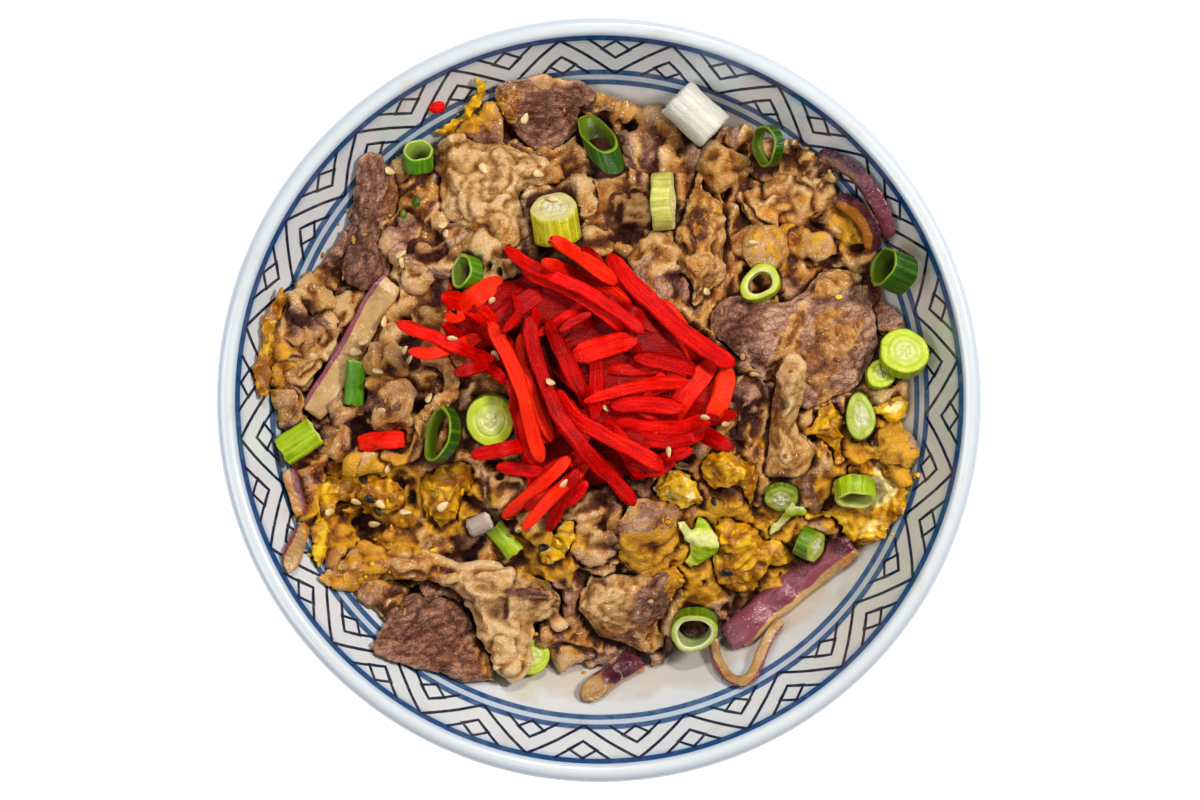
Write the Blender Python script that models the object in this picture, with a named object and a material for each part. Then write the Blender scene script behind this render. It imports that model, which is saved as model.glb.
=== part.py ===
"""Beef rice bowl: a patterned porcelain bowl heaped with sliced beef, egg, red onion, spring onion,
red pickled ginger and sesame seeds.

The origin is the middle of the foot's underside and +Z is up. The tables and functions below are in
millimetres, and add_solid turns them into Blender's metres. Food is laid piece by piece from the
bottom up: Ground keeps the height of everything laid so far, and each piece drapes over it or drops
onto it with a small gap.
"""

import math
from collections import namedtuple

import bmesh
import bpy
import numpy as np
from mathutils import Euler, Vector, noise
from mathutils.geometry import delaunay_2d_cdt

MM = 0.001

# Bowl
RIM_RADIUS = 100.0
RIM_HEIGHT = 78.0
INNER_RADIUS = 94.6
INNER_TOP = 76.0
FLOOR_HEIGHT = 13.0
WALL_CURVE = 2.156
WALL = 4.8
BASE_WALL = 6.0
FOOT_RADIUS = 43.0
FOOT_WALL = 4.4
FOOT_RECESS = 6.5
BOWL_SIDES = 40
INNER_RADII = (0.0, 28.0, 46.0, 60.0, 72.0, 83.5, INNER_RADIUS)
OUTER_RADII = (92.0, 77.0, 61.0, 44.0)

# Laying the food
GAP = 0.35
CELL = 0.5
REACH = 102.0
SINK = 0.7
LEAST = 0.9
SEED = 11
EDGE_ROUND = 0.55
RUFFLE_LENGTH = 5.5
TIPS = (-8, 0, 8)

# The heap under the slices: how far it reaches towards the wall, every 30 degrees from +X
HEAP_REACH = (80.0, 77.0, 74.0, 73.0, 76.0, 78.0, 79.0, 75.0, 72.0, 69.0, 67.0, 74.0)
HEAP_TOP = 70.0
HEAP_RINGS = (0.2, 0.4, 0.58, 0.75, 0.9, 1.0)
HEAP_LOWER_RINGS = (0.82, 0.56, 0.26)
HEAP_SIDES = 28
HEAP_LUMP = 1.6
HEAP_LUMP_LENGTH = 13.0
HEAP_GAP = 4 * GAP

# Sesame seeds: length, width and thickness
SEED_SIZE = (3.1, 1.9, 1.3)
SEED_CLEAR = 1.9
SEED_APART = 1.5
SEED_POINT = 0.22
SEED_RISE = 0.3

COLOURS = {
    "porcelain": ((0.86, 0.87, 0.88), 0.12),
    "beef_lean": ((0.30, 0.17, 0.12), 0.42),
    "beef_fat": ((0.62, 0.41, 0.22), 0.36),
    "egg": ((0.85, 0.49, 0.06), 0.32),
    "red_onion": ((0.36, 0.12, 0.19), 0.28),
    "spring_onion": ((0.33, 0.52, 0.05), 0.30),
    "pickled_ginger": ((0.75, 0.02, 0.01), 0.30),
    "sesame": ((0.80, 0.62, 0.36), 0.40),
}
MATERIALS = {}

Sheet = namedtuple("Sheet", "name finish outline thick edge ruffle grain", defaults=(4.0, 1.8, 0.6, 4.9))
Band = namedtuple("Band", "name finish path width thick edge ruffle grain", defaults=(3.0, 1.4, 0.2, 4.0))
Tube = namedtuple("Tube", "name centre radii wall length azimuth tilt slant sides", defaults=(0.0, 10))


def wall_height(radius):
    """Height of the bowl's smooth inner surface at a distance from the axis."""
    return FLOOR_HEIGHT + (INNER_TOP - FLOOR_HEIGHT) * (radius / INNER_RADIUS) ** WALL_CURVE


def inner_height(radius):
    """Height of the turned bowl's inner facets, which lie a little above the smooth surface."""
    corner = np.asarray(radius, dtype=float) / math.cos(math.pi / BOWL_SIDES)
    facets = np.interp(corner, INNER_RADII, [wall_height(r) for r in INNER_RADII])
    return np.where(corner > INNER_RADIUS, RIM_HEIGHT, facets)


def cross(a, b):
    """Z of the cross product of plan vectors."""
    return a[..., 0] * b[..., 1] - a[..., 1] * b[..., 0]


class Ground:
    """The highest surface laid so far and whose it is, on a square grid in plan.

    A piece clears the surfaces of other solids by GAP, and sinks by SINK into the solid it is fused to.
    """

    def __init__(self):
        axis = np.arange(-REACH, REACH + CELL / 2, CELL)
        x, y = np.meshgrid(axis, axis, indexing="ij")
        self.height = inner_height(np.hypot(x, y))
        self.owner = np.full(self.height.shape, -1)
        self.names = []
        self.begin("bowl")

    def begin(self, name):
        """Starts a new solid: what is laid already belongs to others."""
        self.names.append(name)
        self.others = self.height.copy()
        self.own = np.full(self.height.shape, -1e3)

    def cells(self, corners):
        """Grid points under a plan triangle, and each one's weights of the three corners."""
        a, b, c = corners
        area = cross(b - a, c - a)
        if abs(area) < 1e-4:
            return np.empty((0, 2), int), np.empty((0, 3))
        low = np.ceil((corners.min(axis=0) + REACH) / CELL - 0.1).astype(int)
        high = np.floor((corners.max(axis=0) + REACH) / CELL + 0.1).astype(int)
        i, j = np.meshgrid(np.arange(low[0], high[0] + 1), np.arange(low[1], high[1] + 1), indexing="ij")
        points = np.stack([i.ravel(), j.ravel()], axis=1)
        place = points * CELL - REACH
        weights = [cross(b - place, c - place), cross(c - place, a - place), cross(a - place, b - place)]
        weights = np.stack(weights, axis=1) / area
        inside = (weights > -0.02).all(axis=1)
        return points[inside], weights[inside]

    def lowest(self):
        """The lowest that an underside may lie, with every step widened by one cell."""
        floor = np.maximum(self.others + GAP, self.own - SINK)
        wide = floor.copy()
        for step in ((1, 0), (-1, 0), (0, 1), (0, -1), (1, 1), (1, -1), (-1, 1), (-1, -1)):
            wide = np.maximum(wide, np.roll(floor, step, axis=(0, 1)))
        return wide

    def sample(self, plan):
        """Height of the grid point nearest to each plan point."""
        index = np.clip(np.rint((plan + REACH) / CELL).astype(int), 0, len(self.height) - 1)
        return self.height[index[:, 0], index[:, 1]]

    def lift(self, plan, triangles, heights):
        """Raises a sheet's underside where a triangle of it lies lower than it may."""
        ground = self.lowest()
        covers = []
        for tri in triangles:
            cells, weights = self.cells(plan[tri])
            if len(cells):
                covers.append((tri, ground[cells[:, 0], cells[:, 1]], weights))
        for step in range(9):
            raised = np.zeros(len(heights))
            for tri, floor, weights in covers:
                short = floor - weights @ heights[tri]
                worst = short.argmax()
                if short[worst] <= 0:
                    continue
                share = weights[worst] / (weights[worst] ** 2).sum() if step < 8 else np.ones(3)
                raised[tri] = np.maximum(raised[tri], short[worst] * np.clip(share, 0, 1))
            heights = heights + raised
        return heights

    def drop(self, vertices, triangles):
        """How far a rigid piece is moved in Z so that it just clears the ground."""
        ground = self.lowest()
        move = -1e9
        for tri in triangles:
            cells, weights = self.cells(vertices[tri, :2])
            if len(cells):
                move = max(move, (ground[cells[:, 0], cells[:, 1]] - weights @ vertices[tri, 2]).max())
        return move

    def add(self, vertices, triangles):
        """Makes a laid piece part of the ground and of the solid begun last."""
        for tri in triangles:
            cells, weights = self.cells(vertices[tri, :2])
            if not len(cells):
                continue
            i, j = cells[:, 0], cells[:, 1]
            high = weights @ vertices[tri, 2]
            self.own[i, j] = np.maximum(self.own[i, j], high)
            above = high > self.height[i, j]
            self.height[i[above], j[above]] = high[above]
            self.owner[i[above], j[above]] = len(self.names) - 1


def make_material(name, colour, roughness):
    """A Principled material of one colour."""
    material = bpy.data.materials.new(name)
    material.use_nodes = True
    shader = material.node_tree.nodes["Principled BSDF"]
    shader.inputs["Base Color"].default_value = (*colour, 1.0)
    shader.inputs["Roughness"].default_value = roughness
    shader.inputs["Metallic"].default_value = 0.0
    return material


def add_solid(name, vertices, faces, material):
    """A named object from points in millimetres, with its faces turned out."""
    mesh = bpy.data.meshes.new(name)
    mesh.from_pydata([tuple(float(v) * MM for v in point) for point in vertices], [], faces)
    shell = bmesh.new()
    shell.from_mesh(mesh)
    bmesh.ops.recalc_face_normals(shell, faces=shell.faces)
    bmesh.ops.triangulate(shell, faces=[face for face in shell.faces if len(face.verts) > 3])
    shell.to_mesh(mesh)
    shell.free()
    mesh.materials.append(material)
    solid = bpy.data.objects.new(name, mesh)
    bpy.context.scene.collection.objects.link(solid)
    return solid


def fuse(base, parts):
    """Joins loose parts to a base by one union on a collection, and removes the parts."""
    group = bpy.data.collections.new(base.name + "_parts")
    bpy.context.scene.collection.children.link(group)
    for part in parts:
        bpy.context.scene.collection.objects.unlink(part)
        group.objects.link(part)
    union = base.modifiers.new("union", "BOOLEAN")
    union.operation = "UNION"
    union.operand_type = "COLLECTION"
    union.solver = "EXACT"
    union.collection = group
    bpy.context.view_layer.objects.active = base
    bpy.ops.object.modifier_apply(modifier=union.name)
    for part in parts:
        bpy.data.objects.remove(part)
    bpy.data.collections.remove(group)
    keep_largest_shell(base)


def keep_largest_shell(solid):
    """Drops loose scraps and sealed hollows that fusing leaves, and the thinnest slivers."""
    shell = bmesh.new()
    shell.from_mesh(solid.data)
    bmesh.ops.remove_doubles(shell, verts=shell.verts, dist=0.004 * MM)
    bmesh.ops.dissolve_degenerate(shell, edges=shell.edges, dist=0.002 * MM)
    bmesh.ops.triangulate(shell, faces=[face for face in shell.faces if len(face.verts) > 3])
    left = set(shell.verts)
    shells = []
    while left:
        reached = {left.pop()}
        front = list(reached)
        while front:
            near = {edge.other_vert(vert) for vert in front for edge in vert.link_edges} - reached
            reached |= near
            front = list(near)
        left -= reached
        shells.append(reached)
    largest = max(shells, key=len)
    loose = [vert for vert in shell.verts if vert not in largest]
    bmesh.ops.delete(shell, geom=loose, context="VERTS")
    shell.to_mesh(solid.data)
    shell.free()


def curve(points, spacing, closed):
    """A smooth curve through the points, at an even spacing."""
    points = [np.array(point, dtype=float) for point in points]
    count = len(points)
    spans = count if closed else count - 1
    dense = []
    for span in range(spans):
        if closed:
            p0, p1, p2, p3 = (points[(span + k) % count] for k in (-1, 0, 1, 2))
        else:
            p0, p1, p2, p3 = (points[min(max(span + k, 0), count - 1)] for k in (-1, 0, 1, 2))
        for step in range(12):
            t = step / 12
            dense.append(0.5 * (2 * p1 + (p2 - p0) * t + (2 * p0 - 5 * p1 + 4 * p2 - p3) * t**2
                                + (3 * p1 - p0 - 3 * p2 + p3) * t**3))
    dense.append(points[0] if closed else points[-1])
    dense = np.array(dense)
    along = np.concatenate([[0.0], np.cumsum(np.linalg.norm(np.diff(dense, axis=0), axis=1))])
    number = max(6 if closed else 2, round(along[-1] / spacing))
    places = np.linspace(0.0, along[-1], number + 1)
    places = places[:-1] if closed else places
    return np.stack([np.interp(places, along, dense[:, axis]) for axis in range(dense.shape[1])], axis=1)


def band_outline(path, width, spacing):
    """The closed outline of a strip of even width along a path, with blunt rounded ends."""
    middle = curve(path, spacing, closed=False)
    along = np.gradient(middle, axis=0)
    along /= np.linalg.norm(along, axis=1)[:, None]
    across = np.stack([-along[:, 1], along[:, 0]], axis=1) * width / 2
    across[0] *= 0.8
    across[-1] *= 0.8
    return np.concatenate([middle - across, (middle + across)[::-1]])


def edge_distance(points, outline):
    """Each point's distance to a closed outline, and whether it lies inside."""
    start, end = outline, np.roll(outline, -1, axis=0)
    side = end - start
    offset = points[:, None] - start[None]
    share = np.clip((offset * side).sum(-1) / (side**2).sum(-1), 0, 1)
    distance = np.linalg.norm(offset - share[..., None] * side, axis=-1).min(axis=1)
    y = points[:, None, 1]
    spans = (start[None, :, 1] > y) != (end[None, :, 1] > y)
    rise = np.where(np.abs(side[:, 1]) < 1e-9, 1e-9, side[:, 1])
    x_cross = start[None, :, 0] + (y - start[None, :, 1]) / rise * side[None, :, 0]
    inside = (spans & (points[:, None, 0] < x_cross)).sum(axis=1) % 2 == 1
    return distance, inside


def plan_mesh(outline, spacing):
    """Triangles that fill an outline: its own points, then a staggered grid of points inside."""
    low, high = outline.min(axis=0), outline.max(axis=0)
    rows = np.arange(low[1], high[1], spacing * 0.87)
    grid = [(x + (spacing / 2 if row % 2 else 0.0), y)
            for row, y in enumerate(rows) for x in np.arange(low[0], high[0], spacing)]
    distance, inside = edge_distance(np.array(grid), outline)
    inner = np.array(grid)[inside & (distance > spacing * 0.55)]
    plan = np.concatenate([outline, inner])
    ring = list(range(len(outline)))
    found = delaunay_2d_cdt([Vector(point) for point in plan], [], [ring], 1, 1e-6)
    plan = np.array([tuple(point) for point in found[0]])
    triangles = np.array([tuple(face) for face in found[2]])
    origins = [list(source) for source in found[3]]
    rim = [next(new for new, source in enumerate(origins) if old in source) for old in ring]
    corner = plan[triangles]
    flip = cross(corner[:, 1] - corner[:, 0], corner[:, 2] - corner[:, 0]) < 0
    triangles[flip] = triangles[flip][:, ::-1]
    return plan, triangles, rim


def neighbour_mean(values, triangles):
    """Each point's mean with its neighbours in the triangles."""
    total, count = values.copy(), np.ones(len(values))
    for a, b in ((0, 1), (1, 2), (2, 0)):
        np.add.at(total, triangles[:, a], values[triangles[:, b]])
        np.add.at(total, triangles[:, b], values[triangles[:, a]])
        np.add.at(count, triangles[:, a], 1)
        np.add.at(count, triangles[:, b], 1)
    return total / count


def ripple(plan, seed, length):
    """Smooth seeded noise between about -1 and 1, with waves of a given length."""
    return np.array([2.0 * noise.noise(Vector((x / length, y / length, seed * 3.7))) for x, y in plan])


def lay_sheet(ground, piece, seed, stiff=3):
    """Drapes a slice over what is laid already and adds it to the ground."""
    if isinstance(piece, Band):
        outline = band_outline(piece.path, piece.width, piece.grain * 0.8)
    else:
        outline = curve(piece.outline, piece.grain * 0.85, closed=True)
    plan, triangles, rim = plan_mesh(outline, piece.grain)
    distance, _ = edge_distance(plan, outline)
    under = ground.sample(plan)
    for _ in range(stiff):
        under = neighbour_mean(under, triangles)
    under = ground.lift(plan, triangles, under)
    rise = np.minimum(distance / max(piece.thick * EDGE_ROUND, 1.0), 1.0)
    body = piece.edge + (piece.thick - piece.edge) * np.sqrt(rise * (2 - rise))
    body = body + piece.ruffle * ripple(plan, seed, RUFFLE_LENGTH) * (0.35 + 0.65 * rise)
    over = neighbour_mean(neighbour_mean(under, triangles), triangles) + body
    over = np.maximum(over, under + LEAST)
    count = len(plan)
    vertices = np.concatenate([np.column_stack([plan, over]), np.column_stack([plan, under])])
    sides = [(a, b, b + count, a + count) for a, b in zip(rim, rim[1:] + rim[:1])]
    faces = [tuple(tri) for tri in triangles] + [tuple(tri[::-1] + count) for tri in triangles] + sides
    ground.add(vertices, triangles)
    return add_solid(piece.name, vertices, faces, MATERIALS[piece.finish])


def tube_shape(piece):
    """A cut length of stalk along X about its middle: hollow with a wall, or solid with crowned ends."""
    wide, deep = piece.radii
    vertices, faces = [], []
    turns = [2 * math.pi * k / piece.sides for k in range(piece.sides)]

    def ring(x, shrink):
        start = len(vertices)
        for turn in turns:
            y, z = (wide - shrink) * math.cos(turn), (deep - shrink) * math.sin(turn)
            vertices.append((x + piece.slant * math.sin(turn) * (deep - shrink) / deep, y, z))
        return start

    half = piece.length / 2
    if piece.wall:
        loops = [ring(-half, 0), ring(half, 0), ring(half, piece.wall), ring(-half, piece.wall)]
    else:
        bevel = 0.12 * min(wide, deep)
        loops = [ring(-half, bevel), ring(-half + bevel, 0), ring(half - bevel, 0), ring(half, bevel)]
    pairs = list(zip(loops, loops[1:] + loops[:1])) if piece.wall else list(zip(loops, loops[1:]))
    for a, b in pairs:
        for k in range(piece.sides):
            n = (k + 1) % piece.sides
            faces.append((a + k, b + k, b + n, a + n))
    if not piece.wall:
        for loop, x in ((loops[0], -half - bevel / 2), (loops[-1], half + bevel / 2)):
            middle = len(vertices)
            vertices.append((x, 0.0, 0.0))
            faces += [(loop + k, loop + (k + 1) % piece.sides, middle) for k in range(piece.sides)]
    return np.array(vertices), faces


def split_faces(faces):
    """Every face as triangles."""
    return np.array([(face[0], face[k], face[k + 1]) for face in faces for k in range(1, len(face) - 1)])


def lay_tube(ground, piece):
    """Drops a stiff cut stalk onto the ground, tipped a little to whichever side lets it lie lowest."""
    shape, faces = tube_shape(piece)
    triangles = split_faces(faces)
    best = None
    for tip in TIPS:
        for roll in TIPS:
            turn = Euler((math.radians(roll), -math.radians(piece.tilt + tip), math.radians(piece.azimuth)))
            placed = shape @ np.array(turn.to_matrix()).T
            placed[:, :2] += piece.centre
            placed[:, 2] += ground.drop(placed, triangles)
            if best is None or placed[:, 2].mean() < best[:, 2].mean():
                best = placed
    ground.add(best, triangles)
    return add_solid(piece.name, best, faces, MATERIALS["spring_onion"])


def lathe(profile, sides):
    """Points and faces of a turned solid, from a closed profile that starts and ends on the axis."""
    vertices, faces, loops = [], [], []
    for radius, z in profile:
        loops.append(len(vertices))
        if radius == 0:
            vertices.append((0.0, 0.0, z))
            continue
        for k in range(sides):
            turn = 2 * math.pi * k / sides
            vertices.append((radius * math.cos(turn), radius * math.sin(turn), z))
    for (ra, _), (rb, _), a, b in zip(profile, profile[1:], loops, loops[1:]):
        for k in range(sides):
            n = (k + 1) % sides
            if ra == 0:
                faces.append((a, b + n, b + k))
            elif rb == 0:
                faces.append((a + k, b, a + n))
            else:
                faces.append((a + k, b + k, b + n, a + n))
    return vertices, faces


def bowl_profile():
    """Half section of the bowl: inner surface up from the middle, round the lip, down to the foot."""
    inner = [(r, wall_height(r)) for r in INNER_RADII]
    lip = [(95.7, 77.5), (97.4, RIM_HEIGHT), (99.2, 77.3), (RIM_RADIUS, 75.6)]
    outer = []
    for r in OUTER_RADII:
        slope = (INNER_TOP - FLOOR_HEIGHT) * WALL_CURVE * r ** (WALL_CURVE - 1) / INNER_RADIUS**WALL_CURVE
        wall = float(np.interp(r, (OUTER_RADII[-1], OUTER_RADII[0]), (BASE_WALL, WALL)))
        scale = wall / math.hypot(slope, 1.0)
        outer.append((r + slope * scale, wall_height(r) - scale))
    foot_top = outer[-1][1] - 3.0
    foot = [(FOOT_RADIUS + 0.6, foot_top), (FOOT_RADIUS, 1.2), (FOOT_RADIUS - 1.0, 0.0),
            (FOOT_RADIUS - FOOT_WALL + 0.8, 0.0), (FOOT_RADIUS - FOOT_WALL, 1.2),
            (FOOT_RADIUS - FOOT_WALL - 0.8, FOOT_RECESS), (0.0, FOOT_RECESS + 0.6)]
    return inner + lip + outer + foot


# Beef fused to the heap, as its slices lie too close to part: outlines from the bowl's axis, +Y at the
# photograph's top
HEAP_PIECES = [
    Sheet("pale_slice", "beef_fat", [(-45, 33), (-43, 41), (-38.5, 44.5), (-33, 42.5), (-26, 39.5),
        (-22, 36), (-22.5, 32), (-30, 30), (-34, 36), (-41, 33)], 3.6),
    Sheet("dark_chunk", "beef_lean", [(-56, 41), (-53, 43.5), (-51.5, 47), (-48.8, 48), (-48, 42),
        (-50.5, 37)], 5.0),
    Sheet("small_chunk", "beef_lean", [(-49.5, 35), (-47.5, 41), (-45, 42), (-43.6, 39.5), (-46.5, 34)],
        5.0),
    Sheet("striped_chunk", "beef_fat", [(-51, 32.5), (-49, 35), (-46, 34.5), (-44.8, 31.5), (-47.5, 28)],
        5.2),
    Sheet("left_fold", "beef_fat", [(-83.5, 29), (-79, 33.5), (-76, 35.3), (-72, 34.6), (-67.6, 38),
        (-67.5, 35.5), (-70, 31), (-72.5, 28.3), (-77, 29.5)], 4.2),
    Sheet("left_curl_end", "beef_fat", [(-69, 25.5), (-66, 28.3), (-62.5, 29.5), (-61, 25), (-64, 21),
        (-68, 22)], 5.2),
    Sheet("soft_chunk_a", "beef_fat", [(-60, 8), (-58, 13.5), (-54, 18), (-50.5, 15.5), (-49.5, 9.5),
        (-53, 6)], 5.5),
    Sheet("soft_chunk_b", "beef_lean", [(-60, 5), (-54, 5), (-48.5, 2), (-48, -4), (-54, -6),
        (-60, -3.5)], 4.8),
    Sheet("soft_chunk_c", "beef_fat", [(-69.5, 0.5), (-65.5, 1.5), (-61.5, -0.5), (-61.5, -5),
        (-67, -5.8), (-70, -3)], 4.2),
    Sheet("amber_fold", "beef_lean", [(-75, -11.5), (-70, -7.5), (-63, -8), (-57, -14.5), (-50, -16),
        (-52, -20), (-62, -17.5), (-70, -14.5)], 3.4),
    Sheet("amber_end", "beef_lean", [(-66, -50.8), (-60, -50), (-57, -53), (-58.5, -59), (-61.5, -60),
        (-63.5, -54)], 3.2),
    Sheet("pink_lump", "beef_fat", [(-27.3, -20.3), (-20.5, -20.5), (-18, -26), (-15, -32),
        (-14.5, -37.5), (-18, -37.5), (-23, -32), (-28, -26)], 5.0),
    Sheet("pale_lump", "beef_fat", [(-4, -27.5), (-1.8, -28.5), (-0.3, -33), (1.2, -38), (0.6, -42),
        (-4.5, -42.5), (-5, -36)], 6.0),
    Sheet("shaded_lump", "beef_lean", [(1.5, -34), (4, -36), (4.2, -40), (1.8, -41.5)], 3.0),
    Sheet("lean_under_ginger", "beef_lean", [(3.5, -30), (10, -28), (17, -28.8), (21, -32), (21.5, -37),
        (18.5, -40), (13, -43.5), (7.5, -43), (6, -37)], 4.6),
    Sheet("end_by_onion", "beef_lean", [(28.8, -53.5), (33, -52), (38, -53.5), (38.8, -57), (35.5, -60),
        (31, -59.5)], 4.8),
    Sheet("fold_by_ginger", "beef_lean", [(32.5, -3.5), (36, 3), (40, 4.5), (42.3, 1), (40.4, -5),
        (39.7, -12.5), (36, -12), (31.5, -10.5)], 6.0),
    Sheet("golden_chunk", "beef_fat", [(36, 43.3), (41, 43.6), (45.5, 42.8), (48, 39), (46, 36),
        (41, 36.5), (37, 38.5)], 5.0),
    Sheet("golden_fold", "beef_fat", [(50.5, 42.5), (55, 44), (60.5, 46.2), (63.5, 42), (64, 37),
        (58, 36.2), (52, 38.5)], 3.6),
    Sheet("upright_end", "beef_fat", [(6.3, 79), (9.5, 78.6), (12, 76.5), (10.5, 72.5), (8.3, 68.8),
        (6.6, 72)], 4.4),
    Sheet("pale_fold", "beef_fat", [(3.5, 50.5), (4.8, 53.5), (7, 51), (10.3, 54), (11.2, 51), (10, 43),
        (7.2, 36.5), (4, 41)], 6.2),
    Sheet("fat_knob", "beef_fat", [(-8, 55.5), (-4.5, 55.8), (-2.5, 53), (-3.2, 48.8), (-5.2, 48)], 5.0),
    Sheet("low_knob", "beef_fat", [(-3.8, 44), (0, 45.2), (2.2, 42.8), (1, 39), (-3, 38.3)], 5.0),
    Sheet("pink_curl", "beef_lean", [(9.5, 38), (12, 41.5), (16, 42), (18, 38), (19.3, 33), (19.8, 29),
        (17, 26), (13.5, 27.5), (11, 33)], 4.6),
    Sheet("dark_strip", "beef_lean", [(14.5, -71), (17, -68.8), (20.5, -66), (19, -63), (15, -66)], 2.6),
    Sheet("beef_shaded_slice", "beef_lean", [(14.5, 72.5), (17.5, 75.8), (14, 76), (13.2, 73.2)],
        2.4, 1.2, 0.2, 3.0),
    Sheet("beef_speckled_end", "beef_fat", [(46.6, 73), (49.5, 73.4), (52, 71), (56, 70.4),
        (58.5, 69.3), (56.3, 67.2), (55, 64.5), (53.5, 63.1), (50, 62.9), (48.8, 66)],
        3.6, 1.8, 0.5, 3.6),
    Sheet("beef_dark_crumb", "beef_lean", [(74.4, -9), (78, -7.2), (82, -8.7), (83.4, -12), (82, -16),
        (79, -16.8), (75.8, -13.6)], 4.2, 1.8, 0.8, 3.4),
    Band("onion_low_strip", "red_onion", [(-13.6, -67.2), (-8, -66.7), (-2.5, -66.3)],
        3.2, 2.6, 1.4, 0.1, 3.4),
    Sheet("egg_golden_point", "egg", [(-58.3, -34.3), (-56, -31.8), (-52, -30.2), (-49.6, -30.5),
        (-51.6, -33), (-54.6, -35.3), (-56.4, -38), (-58, -37)], 4.0, 1.6, 0.4, 3.4),
    Sheet("beef_round_end", "beef_fat", [(28.7, 64), (31.5, 67), (35, 66.5), (38, 63.5), (38.6, 59),
        (36.3, 55.8), (32, 56), (29, 59)], 6.5, 2.4, 0.5, 3.8),
    Band("beef_left_curl", "beef_lean", [(-71.5, 25.4), (-75.5, 26.6), (-80, 25.2), (-82.4, 21),
        (-81.7, 16.8), (-79, 15.6), (-76.6, 18.2), (-74.4, 21.8), (-71.8, 23.2)],
        3.0, 7.0, 4.5, 0.5, 2.8),
    Sheet("beef_mottled_slice", "beef_fat", [(8, 62), (10, 66), (11, 69.3), (14.5, 71.3), (18.5, 72),
        (22.5, 69.8), (27.3, 66.3), (27.6, 63.6), (24.5, 61.5), (21.5, 60.8), (15.5, 60.8)],
        5.6, 2.4, 0.9, 3.8),
    Sheet("golden_crumbs", "beef_fat", [(-13, -69), (-7, -68.5), (-1, -69.5), (-2, -71.5), (-8, -72),
        (-12, -71.5)], 2.4),
]

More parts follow.
